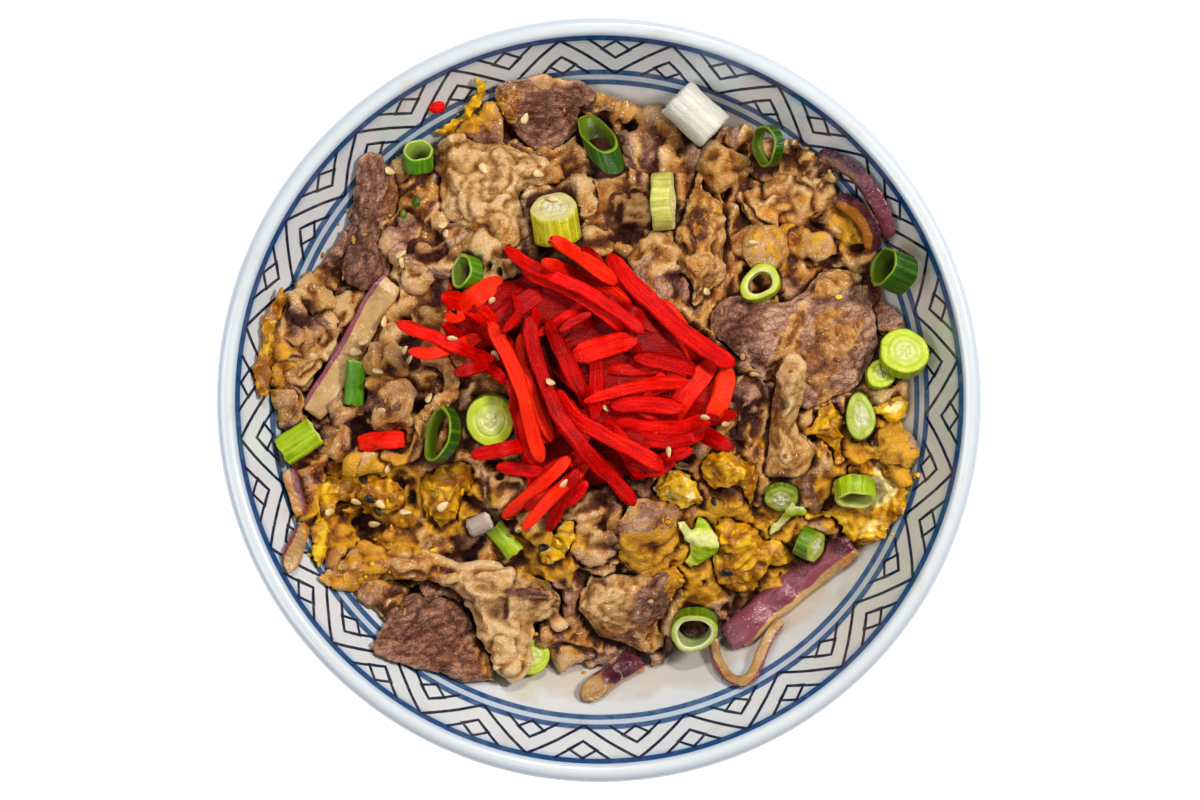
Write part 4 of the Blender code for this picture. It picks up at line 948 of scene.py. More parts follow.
@dataclass
class Draped:
    """A soft piece that is laid over others: its solid, closely meshed, with its own relief and paint."""

    node: str
    mark: float
    tone: float
    turn: float = 0.0
    patches: tuple[Patch, ...] = ()
    grain: float = 0.55
    rounding: int = 3

    ENDING: ClassVar[str] = ""
    SLOT: ClassVar[Slot] = Slot.LEAN

    @property
    def slot(self) -> Slot:
        """The slot of the record that the piece belongs to."""
        return self.SLOT

    def along_fibres(self, points: Array) -> Array:
        """Points as distances along the fibres, across them and up.

        Args:
            points: The points.

        Returns:
            The distances, a row for each point.
        """
        turn = math.radians(self.turn)
        x, y, z = points.T
        along = x * math.cos(turn) + y * math.sin(turn)
        return np.stack([along, y * math.cos(turn) - x * math.sin(turn), z], axis=1)

    def painted(self, points: Array) -> tuple[Array, Array]:
        """The mark and tone at each point, with soft wandering borders.

        Args:
            points: The points.

        Returns:
            The mark and the tone.
        """
        seed = seed_of(self.node)
        mark = np.full(len(points), float(self.mark))
        tone = np.full(len(points), float(self.tone))
        stray = 0.3 * waves(points, 5.0, seed) + 0.15 * waves(points, 2.2, seed + 1)
        for patch in self.patches:
            share = patch.share(points, stray)
            mark += (patch.mark - mark) * share
            tone += (patch.tone - tone) * share
        return mark, tone

    def relief(self, points: Array, mark: Array) -> tuple[Array, Array]:
        """The piece's own relief.

        Args:
            points: The points.
            mark: Their share of the second substance.

        Returns:
            The height to push each point out by, and the crest value: 1 on tops and 0 in creases.
        """
        raise NotImplementedError

    @staticmethod
    def held(table: Table, shell: Shell, heights: Array) -> Array:
        """Heights that don't rise into a piece that lies on top.

        Args:
            table: What the piece is laid on.
            shell: The piece.
            heights: How far its points are to rise.

        Returns:
            The heights, less where something covers the piece.
        """
        covered = smooth(table.solid.at(shell.points) - shell.points[:, 2], 0.8, 2.0)
        covered *= smooth(shell.normals()[:, 2], 0.1, 0.5)
        return heights - covered * np.maximum(heights, 0)

    def shape(self, table: Table) -> Shell:
        """The finished form with its paint.

        Args:
            table: What the piece is laid on.

        Returns:
            The form.
        """
        shell = Shell.of_node(self.node, self.grain)
        shell.soften(self.rounding)
        rest = shell.points
        mark, tone = self.painted(rest)
        heights, crest = self.relief(rest, mark)
        shell.push(self.held(table, shell, heights))
        shell.soften(1)
        shell.paint = {
            "mark": mark, "tone": tone, "crest": crest,
            "depth": table.depth(shell.points), "fibre": self.along_fibres(rest), "gold": table.gold(rest),
        }
        table.dressed.raise_to(shell.points)
        return shell

    def build(self, table: Table, material: bpy.types.Material) -> bpy.types.Object:
        """Makes the piece."""
        return self.shape(table).finish(self.node + self.ENDING, material, self.slot, [self.node])


@dataclass
class Flaps:
    """Thin slices that overlap like shingles, each with its own place, turn, fat share and tone.

    spacing is the distance between their middles, long and wide are half their sizes, and lift is how far
    they rise over one another.
    """

    spacing: float
    long: float
    wide: float
    lift: float

    def sites(self, points: Array, seed: int) -> Array:
        """The middle of every flap under the points, with a row of random numbers for each.

        Args:
            points: The points to cover.
            seed: A number that the flaps follow from.

        Returns:
            A row for each flap: X, Y and six numbers between -1 and 1.
        """
        low, high = points[:, :2].min(axis=0), points[:, :2].max(axis=0)
        count = np.ceil((high - low) / self.spacing).astype(int) + 1
        grid = np.stack(np.meshgrid(np.arange(count[0]), np.arange(count[1]), [0]), axis=-1).reshape(-1, 3)
        chance = np.stack([scatter(grid, seed + 11 * number) for number in range(8)], axis=1)
        middles = low + grid[:, :2] * self.spacing + 0.45 * self.spacing * chance[:, :2]
        return np.concatenate([middles, chance[:, 2:]], axis=1)

    def lay(self, points: Array, mark: Array, tone: Array, seed: int) -> tuple[Array, Array, Array, Array]:
        """Covers points with flaps.

        Args:
            points: The points of the surface that carries them.
            mark: Its fat share.
            tone: Its tone.
            seed: A number that the flaps follow from.

        Returns:
            The height at each point, the fat share, the tone and coordinates along the fibres.
        """
        height = np.full(len(points), -self.lift)
        # Painted shade: the surface that no flap covers lies lowest and keeps a darker tone.
        mark, tone = mark.copy(), tone - 0.25
        fibre = points.copy()
        ragged = 0.3 * waves(points, 4.5, seed) + 0.26 * waves(points, 2.0, seed + 1)
        for x, y, turn, rise, lean, fatness, shade, bend in self.sites(points, seed):
            near = np.flatnonzero(np.hypot(points[:, 0] - x, points[:, 1] - y) < 1.3 * self.long)
            if not len(near):
                continue
            angle = math.pi * turn
            offset = points[near, :2] - (x, y)
            u = offset @ (math.cos(angle), math.sin(angle))
            v = offset @ (-math.sin(angle), math.cos(angle))
            v = v + 0.9 * bend * np.cos(u / self.long * 2.2)
            inside = 1 - np.hypot(u / self.long, v / self.wide) + ragged[near]
            edge = np.clip(inside * self.wide / 1.3, 0, 1)
            level = self.lift * (0.25 + 0.5 * rise) + 0.16 * self.lift * v * (1 if lean > 0 else -1)
            level = level + 0.28 * self.lift * np.sin(u / self.long * (4 + 3 * bend) + 7 * fatness)
            level = level - 1.1 * (1 - np.sqrt(1 - (1 - edge) ** 2))
            over = (inside > 0) & (level > height[near])
            spots = near[over]
            height[spots] = level[over]
            fat = self.fat_of(fatness)
            rim = smooth(-inside[over], -0.34, -0.12) * (0.85 if shade > -0.4 else 0.0)
            mark[spots] = np.maximum(fat, rim)
            tone[spots] = np.clip(0.5 + 0.34 * shade, 0, 1)
            fibre[spots] = np.stack([u[over] + 31 * shade, v[over] + 17 * turn, points[spots, 2]], axis=1)
        return height, mark, tone, fibre

    @staticmethod
    def fat_of(chance: float) -> float:
        """A flap's fat share: most are lean or fat, few are between."""
        return 0.1 if chance < -0.4 else 0.42 if chance < -0.1 else 0.9


@dataclass
class Spill:
    """Food that leans against the bowl's wall, as far out as the radii at some angles in degrees."""

    reach: tuple[Point, ...]
    size: float = 6.5
    thick: float = 3.2
    every: float = 5.0

    def lumps(self) -> list[Form]:
        """A row of flat lumps along the wall.

        Returns:
            The lumps.
        """
        angles, radii = np.array(self.reach).T
        made = []
        for number, angle in enumerate(np.arange(angles[0], angles[-1], self.every)):
            chance = scatter(np.array([[number, axis, 4] for axis in range(3)]), 23)
            edge = float(np.interp(angle, angles, radii)) + 1.2 * chance[0]
            around, out = self.size * (1.1 + 0.2 * chance[1]), self.size * (1.2 + 0.2 * chance[2])
            made.append(self.lump(math.radians(angle), edge - out, around, out))
        return made

    def lump(self, angle: float, radius: float, around: float, out: float) -> Form:
        """One lump that lies on the wall.

        Args:
            angle: Its place round the bowl, in radians.
            radius: Its distance from the bowl's axis.
            around: Half its length round the bowl.
            out: Half its width outward.

        Returns:
            The lump.
        """
        u, v, w = ball(7, 12).T
        far = radius + out * v
        x = far * math.cos(angle) - around * u * math.sin(angle)
        y = far * math.sin(angle) + around * u * math.cos(angle)
        z = Bowl().height(np.hypot(x, y)) + self.thick * (0.6 + w)
        return np.stack([x, y, z], axis=1), band_faces(7, 12)


@dataclass
class BeefSlice(Draped):
    """A thin cooked slice: fat swells into folds, and lean shows its fibres.

    fold is the depth of its creases, lobe that of its fat's lumps, and ruffle how much of the fat is
    frilled, in ribbons of a width.
    """

    fold: float = 0.55
    lobe: float = 0.8
    ruffle: float = 0.35
    ribbon: float = 4.4
    flaps: Flaps | None = None
    spill: Spill | None = None

    ENDING: ClassVar[str] = "_cooked"

    @property
    def slot(self) -> Slot:
        """The fat's slot or the lean's."""
        return Slot.FAT if self.mark > 0.5 else Slot.LEAN

    def folds(self, points: Array, mark: Array) -> Array:
        """Pillowy folds on the fat, and flat creases and fine ridges on the lean.

        Args:
            points: The points.
            mark: Their fat share.

        Returns:
            The height to push each point out by.
        """
        seed = seed_of(self.node)
        fibres = self.along_fibres(points)
        drift = 3.2 * drifts(points, 10.0, seed)
        drift += 0.9 * drifts(points, 3.4, seed + 20)
        loose = fibres + drift
        bent = loose * (0.55, 1.0, 1.0)
        grains = lumps(points, 1.3, seed + 13) - 0.6
        frilled = self.ruffle * smooth(waves(points, 13.0, seed + 32), -0.8, -0.1)
        pillows = smooth(lumps(loose * (0.8, 1.0, 1.0), 6.2, seed + 11), 0.0, 1.0) - 0.6
        beads = smooth(lumps(loose + 7.0, 3.0, seed + 8), 0.0, 1.0) - 0.5
        ribbons = billow(loose * (0.8, 1.0, 0.6), self.ribbon, seed + 30) - 0.6
        soft = self.lobe * (1.1 * pillows + 0.4 * beads) * (1 - 0.6 * frilled)
        soft += self.fold * 1.6 * waves(bent * (0.6, 1.0, 1.0), 8.0, seed + 7) + 2.1 * frilled * ribbons
        sheet = billow(bent * (0.7, 0.6, 0.6), 7.5, seed + 12) - 0.6
        ridge = waves(fibres * (0.25, 1.0, 1.0) + drift * 0.3, 1.3, seed + 9)
        crinkle = lumps(bent * (0.8, 1.0, 1.0), 3.4, seed + 10) - 0.6
        firm = self.fold * 1.9 * sheet + 0.08 * ridge + 0.6 * crinkle
        fatty = smooth(mark, 0.25, 0.75)
        return fatty * soft + (1 - fatty) * firm + 0.2 * grains

    def shape(self, table: Table) -> Shell:
        """The finished form with its paint, and with flaps where it has them.

        Args:
            table: What the piece is laid on.

        Returns:
            The form.
        """
        additions = self.spill.lumps() if self.spill else ()
        shell = Shell.of_node(self.node, self.grain, additions)
        shell.soften(self.rounding)
        rest = shell.points
        mark, tone = self.painted(rest)
        upward = smooth(shell.normals()[:, 2], 0.0, 0.4)
        fibre, level, gap = self.along_fibres(rest), np.zeros(len(rest)), 0.0
        if self.flaps:
            level, flap_mark, flap_tone, flap_fibre = self.flaps.lay(rest, mark, tone, seed_of(self.node))
            steady = 0.6 * smooth(np.abs(mark - 0.5), 0.1, 0.3)
            mark = mark * steady + flap_mark * (1 - steady)
            tone = 0.5 * tone + 0.5 * flap_tone
            fibre = fibre + (flap_fibre - fibre) * (upward > 0.5)[:, None]
            gap = smooth(-level, 0.0, self.flaps.lift) * upward * (self.flaps.lift / 2.1) ** 2
        shell.push(self.held(table, shell, self.folds(rest, mark) + level * upward))
        shell.soften(1)
        # Creases and the low ground between flaps deepen the depth, which the material paints as shade.
        sunk = (1 - shell.crest(26, 1.2)) ** 1.8
        shell.paint = {
            "mark": mark, "tone": tone, "crest": shell.crest(8, 0.45),
            "fibre": fibre, "gold": table.gold(rest),
            "depth": np.clip(table.depth(shell.points) + 0.8 * gap + sunk - 0.12, 0, 1),
        }
        table.dressed.raise_to(shell.points)
        return shell


@dataclass
class EggCurd(Draped):
    """Softly scrambled egg: round shiny lumps that run into each other."""

    ENDING: ClassVar[str] = "_curds"
    SLOT: ClassVar[Slot] = Slot.EGG

    def relief(self, points: Array, mark: Array) -> tuple[Array, Array]:
        """Lumps of two sizes with a ragged surface between.

        Args:
            points: The points.
            mark: Their share of the second substance.

        Returns:
            The height to push each point out by, and the crest value.
        """
        seed = seed_of(self.node)
        bent = points + 1.8 * drifts(points, 6.0, seed)
        big = lumps(bent, 5.0, seed + 3)
        small = lumps(bent, 2.3, seed + 4)
        holes = smooth(-waves(points, 2.8, seed + 6), 0.35, 0.7)
        strings = smooth(-np.abs(waves(bent, 3.6, seed + 9)), -0.3, 0.0)
        heights = 0.8 * (big - 0.6) + 0.55 * (small - 0.55) + 0.95 * (strings - 0.4)
        heights += 0.5 * waves(points, 7.5, seed + 8) - 0.8 * holes
        return heights, np.clip(0.6 * big + 0.4 * small - 0.4 * holes, 0, 1)


@dataclass
class OnionLayer(Draped):
    """A curved layer of red onion along a path.

    skin is the width of the skin along its left edge, or along its right one where it is negative, and
    swell is how far the layer stands out.
    """

    path: tuple[Point, ...] = ((0.0, 0.0), (1.0, 0.0))
    skin: float = 1.0
    swell: float = 0.0

    ENDING: ClassVar[str] = "_layer"
    SLOT: ClassVar[Slot] = Slot.RED_ONION

    def relief(self, points: Array, mark: Array) -> tuple[Array, Array]:
        """Faint ridges along the layer and a slight wave.

        Args:
            points: The points.
            mark: Their share of the second substance.

        Returns:
            The height to push each point out by, and the crest value.
        """
        seed = seed_of(self.node)
        side, _ = line_distance(points, self.path)
        ribs = np.sin(side * 3.4 + 0.8 * waves(points, 6.0, seed))
        heights = self.swell + 0.05 * ribs + 0.35 * waves(points, 6.5, seed + 2)
        return heights, 0.5 + 0.5 * ribs

    def painted(self, points: Array) -> tuple[Array, Array]:
        """Skin along one edge, over the patches.

        Args:
            points: The points.

        Returns:
            The skin's share and the tone.
        """
        mark, tone = super().painted(points)
        side, _ = line_distance(points, self.path)
        reach = np.abs(side).max() * 0.98
        stray = 0.35 * waves(points, 5.0, seed_of(self.node) + 3)
        width = abs(self.skin)
        edge = smooth(side * np.sign(self.skin) + stray, reach - 2 * width, reach - width)
        return np.maximum(mark, edge), tone

    def along_fibres(self, points: Array) -> Array:
        """Points as distances along the path, across it and up.

        Args:
            points: The points.

        Returns:
            The distances, a row for each point.
        """
        side, along = line_distance(points, self.path)
        length = np.linalg.norm(np.diff(np.array(self.path), axis=0), axis=1).sum()
        return np.stack([along * length, side, points[:, 2]], axis=1)


@dataclass(frozen=True)
class Beef:
    """Wet cooked beef: brown fibrous lean and creamy golden fat, dark with sauce and painted shade in the
    crevices.
    """

    lean_dark: Colour = screen(90, 42, 22)
    lean_mid: Colour = screen(166, 118, 92)
    lean_pale: Colour = screen(216, 174, 146)
    fat_dark: Colour = screen(112, 52, 4)
    fat_low: Colour = screen(176, 112, 34)
    fat_mid: Colour = screen(212, 162, 90)
    fat_pale: Colour = screen(236, 202, 154)
    gold: Colour = screen(236, 178, 30)
    sauce: Colour = screen(74, 20, 0)

    def material(self) -> bpy.types.Material:
        """The finish of all beef.

        Returns:
            The material.
        """
        graph = Graph("cooked_beef")
        place, fibre = graph.place(), graph.painted_vector("fibre")
        mark, tone, crest = (graph.painted(name) for name in ("mark", "tone", "crest"))
        depth, gold = graph.painted("depth"), graph.painted("gold")
        blotch, fine = graph.noise(place, 6.0, 4.0), graph.noise(place, 0.7, 4.0)
        strands = graph.noise(graph.stretched(fibre, (0.35, 1.0, 0.8)), 0.8, 5.0, 0.8)
        drift = graph.node("ShaderNodeTexNoise", {}, {"Vector": place, "Scale": 0.5, "Detail": 3.0}, "Color")
        bent = graph.stretched(fibre, (0.6, 1.0, 1.0))
        bent = graph.node("ShaderNodeVectorMath", {"operation": "ADD"}, [bent, drift])
        crackle = graph.cells(bent, 1.9, "DISTANCE_TO_EDGE").rise(0.07, 0.0)
        beads = graph.cells(place, 2.2).rise(0.2, 0.75)
        # Painted light and shade: crest lightens ridges and darkens creases in the lean and the fat, and
        # beads darkens the fat a little between its small lumps.
        level = (strands * 0.6 + fine * 0.4 + blotch * 0.7 + tone * 0.8 + crest * 0.65 - 1.12).rise(0.0, 1.0)
        lean = graph.ramp(level, [(0.0, self.lean_dark), (0.5, self.lean_mid), (1.0, self.lean_pale)])
        lean = graph.mix(crackle * 0.5, lean, self.lean_dark)
        richness = (crest * 0.5 + tone * 0.6 + blotch * 0.6 + fine * 0.3 - beads * 0.05 - 0.53).rise(0.0, 1.0)
        fat = graph.ramp(richness, [
            (0.0, self.fat_dark), (0.35, self.fat_low), (0.68, self.fat_mid), (1.0, self.fat_pale)])
        marbling = graph.noise(graph.stretched(fibre, (0.3, 1.0, 0.6)), 3.0, 3.0)
        border = (mark + (marbling - 0.5) * 0.9 + (fine - 0.5) * 0.3).rise(0.3, 0.66)
        colour = graph.mix(border, lean, fat)
        stain = graph.noise(place, 3.2, 4.0).rise(0.5, 0.7) * 0.35
        stain = stain.most(graph.noise(place, 15.0, 3.0).rise(0.46, 0.62) * 0.4) * (1.2 - tone)
        colour = graph.mix(stain, colour, screen(228, 172, 100), "MULTIPLY")
        tint = (gold * 0.9 + graph.noise(place, 5.0, 3.0) - 0.8).rise(0.0, 0.5) * 0.36
        colour = graph.mix(tint, colour, screen(240, 198, 74), "MULTIPLY")
        glints = graph.cells(place, 0.8).rise(0.42, 0.12) * graph.noise(place, 2.2, 4.0).rise(0.44, 0.6)
        glints = glints * (crest * 0.85 + 0.12) * (border * 0.6 + 0.4)
        colour = graph.mix(glints, colour, screen(255, 242, 222))
        # Egg flecks, gold on ridges and darker orange in creases by crest: painted shade.
        flecks = (gold * 0.8 + graph.noise(place, 2.6, 4.0) - 0.93).rise(0.0, 0.12)
        colour = graph.mix(flecks * 0.85, colour, graph.mix(crest, screen(184, 104, 6), self.gold))
        # Crevices and the low ground between slices turn to the sauce colour, by depth: sauce with painted
        # shade.
        colour = graph.mix((depth * 1.2 - 0.08).least(0.95).most(0.0), colour, self.sauce)
        height = strands * (0.4 - border * 0.25) + fine * 0.4 + graph.noise(place, 0.4, 3.0) * 0.5
        height = height - beads * border * 0.12 - crackle * (1 - border) * 0.15
        wet = graph.noise(place, 1.1, 4.0).rise(0.44, 0.62)
        return graph.surface({
            "Base Color": colour,
            "Roughness": (0.36 - border * 0.08 - wet * 0.3 + depth * 0.3).most(0.07),
            "Normal": graph.bump(height, 1.0),
            "Specular IOR Level": 0.55,
            "Subsurface Weight": 0.45,
            "Subsurface Radius": (1.0, 0.5, 0.2),
            "Subsurface Scale": 1.7 * MM,
        })


@dataclass(frozen=True)
class Egg:
    """Set egg in yolk yellow, orange and white, shiny with sauce."""

    deep: Colour = screen(158, 94, 0)
    golden: Colour = screen(232, 176, 6)
    bright: Colour = screen(252, 210, 28)
    white: Colour = screen(244, 220, 150)
    sauce: Colour = screen(52, 26, 4)

    def material(self) -> bpy.types.Material:
        """The finish of all egg.

        Returns:
            The material.
        """
        graph = Graph("scrambled_egg")
        place, fibre = graph.place(), graph.painted_vector("fibre")
        mark, tone, crest, depth = (graph.painted(name) for name in ("mark", "tone", "crest", "depth"))
        blotch, fine = graph.noise(place, 4.5, 3.0), graph.noise(place, 1.1, 3.0)
        streaks = graph.noise(graph.stretched(fibre, (0.15, 1.0, 0.6)), 1.3, 2.0)
        drift = graph.noise(place, 10.0, 1.0) * 0.9
        # Painted light and shade: crest lightens the lumps' tops and darkens the creases between them.
        level = crest * 0.5 + tone * 0.75 + blotch * 0.6 + fine * 0.3 + streaks * 0.3 + drift
        level = (level - 1.25).rise(0.0, 1.0)
        colour = graph.ramp(level, [(0.0, self.deep), (0.5, self.golden), (1.0, self.bright)])
        pale = (mark + (blotch - 0.5) * 0.5 + (fine - 0.5) * 0.3 + (streaks - 0.5) * 1.3).rise(0.42, 0.66)
        colour = graph.mix(pale, colour, self.white)
        glints = graph.cells(place, 1.1).rise(0.36, 0.12) * graph.noise(place, 2.6, 3.0).rise(0.46, 0.6)
        colour = graph.mix(glints * (crest * 0.7 + 0.1), colour, screen(255, 246, 208))
        # Crevices turn to the sauce colour, by depth: sauce with painted shade.
        colour = graph.mix((depth * 1.1 - 0.1).least(0.9).most(0.0), colour, self.sauce)
        height = fine * 0.6 + graph.noise(place, 0.45, 2.0) * 0.4
        return graph.surface({
            "Base Color": colour,
            "Roughness": 0.05 + graph.noise(place, 2.0, 2.0) * 0.24,
            "Normal": graph.bump(height, 0.6),
            "Specular IOR Level": 0.55,
            "Subsurface Weight": 0.4,
            "Subsurface Radius": (1.0, 0.6, 0.1),
            "Subsurface Scale": 1.7 * MM,
        })


@dataclass(frozen=True)
class RedOnion:
    """Cooked red onion: translucent tan layers with a purple skin."""

    flesh_dark: Colour = screen(136, 86, 38)
    flesh_pale: Colour = screen(212, 176, 118)
    amber: Colour = screen(196, 124, 28)
    skin_dark: Colour = screen(64, 16, 34)
    skin_pale: Colour = screen(166, 88, 100)
    sauce: Colour = screen(52, 18, 8)

    def material(self) -> bpy.types.Material:
        """The finish of all red onion.

        Returns:
            The material.
        """
        graph = Graph("cooked_red_onion")
        place, fibre = graph.place(), graph.painted_vector("fibre")
        mark, tone, depth, gold = (graph.painted(name) for name in ("mark", "tone", "depth", "gold"))
        veins = graph.noise(graph.stretched(fibre, (0.09, 1.0, 0.7)), 0.8, 2.0)
        blotch = graph.noise(place, 4.5, 4.0)
        level = (tone * 0.9 + veins * 0.2 + blotch * 0.8 - 0.5).rise(0.0, 1.0)
        flesh = graph.mix(level, self.flesh_dark, self.flesh_pale)
        flesh = graph.mix((gold * 0.9 + blotch * 0.5 - 0.4).rise(0.0, 0.5) * 0.8, flesh, self.amber)
        skin = graph.mix(level, self.skin_dark, self.skin_pale)
        colour = graph.mix((mark + (veins - 0.5) * 0.5).rise(0.3, 0.7), flesh, skin)
        glints = graph.cells(place, 0.7).rise(0.36, 0.1) * graph.noise(place, 3.0, 4.0).rise(0.5, 0.66)
        colour = graph.mix(glints * 0.5, colour, screen(250, 222, 206))
        # Crevices turn to the sauce colour, by depth: sauce with painted shade.
        colour = graph.mix((depth - 0.15).least(0.85).most(0.0), colour, self.sauce)
        return graph.surface({
            "Base Color": colour,
            "Roughness": 0.1 + blotch * 0.2,
            "Normal": graph.bump(veins * 0.2 + graph.noise(place, 1.1, 4.0) * 0.8, 0.5),
            "Specular IOR Level": 0.6,
            "Subsurface Weight": 0.2,
            "Subsurface Radius": (1.0, 0.5, 0.4),
            "Subsurface Scale": 1.5 * MM,
        })


class Cut(Enum):
    """Colours of a spring onion's skin, flesh and heart, from the dark leaf end to the white root end."""

    DARK = (screen(52, 98, 2), screen(142, 172, 26), screen(88, 100, 10))
    GREEN = (screen(98, 158, 8), screen(166, 196, 56), screen(190, 196, 116))
    LIME = (screen(180, 206, 14), screen(196, 208, 60), screen(220, 218, 156))
    PALE = (screen(116, 154, 14), screen(180, 188, 74), screen(222, 220, 190))
    STRAW = (screen(226, 222, 112), screen(234, 228, 160), screen(232, 226, 170))
    YELLOW = (screen(222, 214, 16), screen(222, 212, 150), screen(222, 212, 190))
    WHITE = (screen(226, 222, 208), screen(236, 232, 222), screen(228, 222, 206))
    MAUVE = (screen(196, 172, 158), screen(222, 208, 196), screen(206, 190, 176))


@dataclass(frozen=True)
class SpringOnion:
    """Fresh cut stalk: fibrous skin outside, layered flesh on the cuts, a pale smooth hollow."""

    cut: Cut

    def material(self) -> bpy.types.Material:
        """The finish of the pieces of one colour.

        Returns:
            The material.
        """
        graph = Graph("spring_onion_" + self.cut.name.lower())
        skin, flesh, heart = self.cut.value
        place, stalk = graph.place(), graph.painted_vector("fibre")
        inward, hollow, depth = (graph.painted(name) for name in ("mark", "tone", "depth"))
        fibres = graph.noise(graph.stretched(stalk, (0.06, 1.0, 1.0)), 0.5, 2.0)
        wide_fibres = graph.noise(graph.stretched(stalk, (0.05, 1.0, 1.0)), 1.7, 1.0)
        blotch, fine = graph.noise(place, 3.5, 2.0), graph.noise(place, 0.6, 3.0)
        dark = tuple((0.42 + 0.4 * skin[2] / max(skin)) * part for part in skin)
        between = tuple(0.5 * a + 0.5 * b for a, b in zip(skin, flesh))
        shade = graph.mix((fibres * 0.6 + wide_fibres * 0.6 + blotch * 0.5 - 0.5).rise(0.0, 0.65), dark, skin)
        shade = graph.mix(wide_fibres.rise(0.55, 0.72) * 0.4, shade, flesh)
        layers = (inward * 26.0 + (blotch - 0.5) * 5.0).math("SINE") * 0.5 + 0.5
        deep_in = inward * 1.5 + (fine - 0.5) * 0.5 + (blotch - 0.5) * 0.9 - 0.35
        inside = graph.mix(deep_in.rise(0.0, 1.0), flesh, heart)
        inside = graph.mix(layers * (1.0 - inward * 0.6) * 0.45, inside, between)
        inside = graph.mix(hollow * 0.6, inside, between)
        colour = graph.mix(inward.rise(0.015, 0.06), shade, inside)
        shadow = (depth + hollow * 0.4 - 0.35).least(0.85).most(0.0)
        colour = graph.mix(shadow, colour, screen(44, 36, 4))
        return graph.surface({
            "Base Color": colour,
            "Roughness": 0.2 + blotch * 0.26,
            "Normal": graph.bump(fibres * (0.5 - inward * 0.5) + fine * 0.5, 0.35),
            "Subsurface Weight": 0.15,
            "Subsurface Radius": (0.6, 1.0, 0.3),
            "Subsurface Scale": 1.2 * MM,
        })


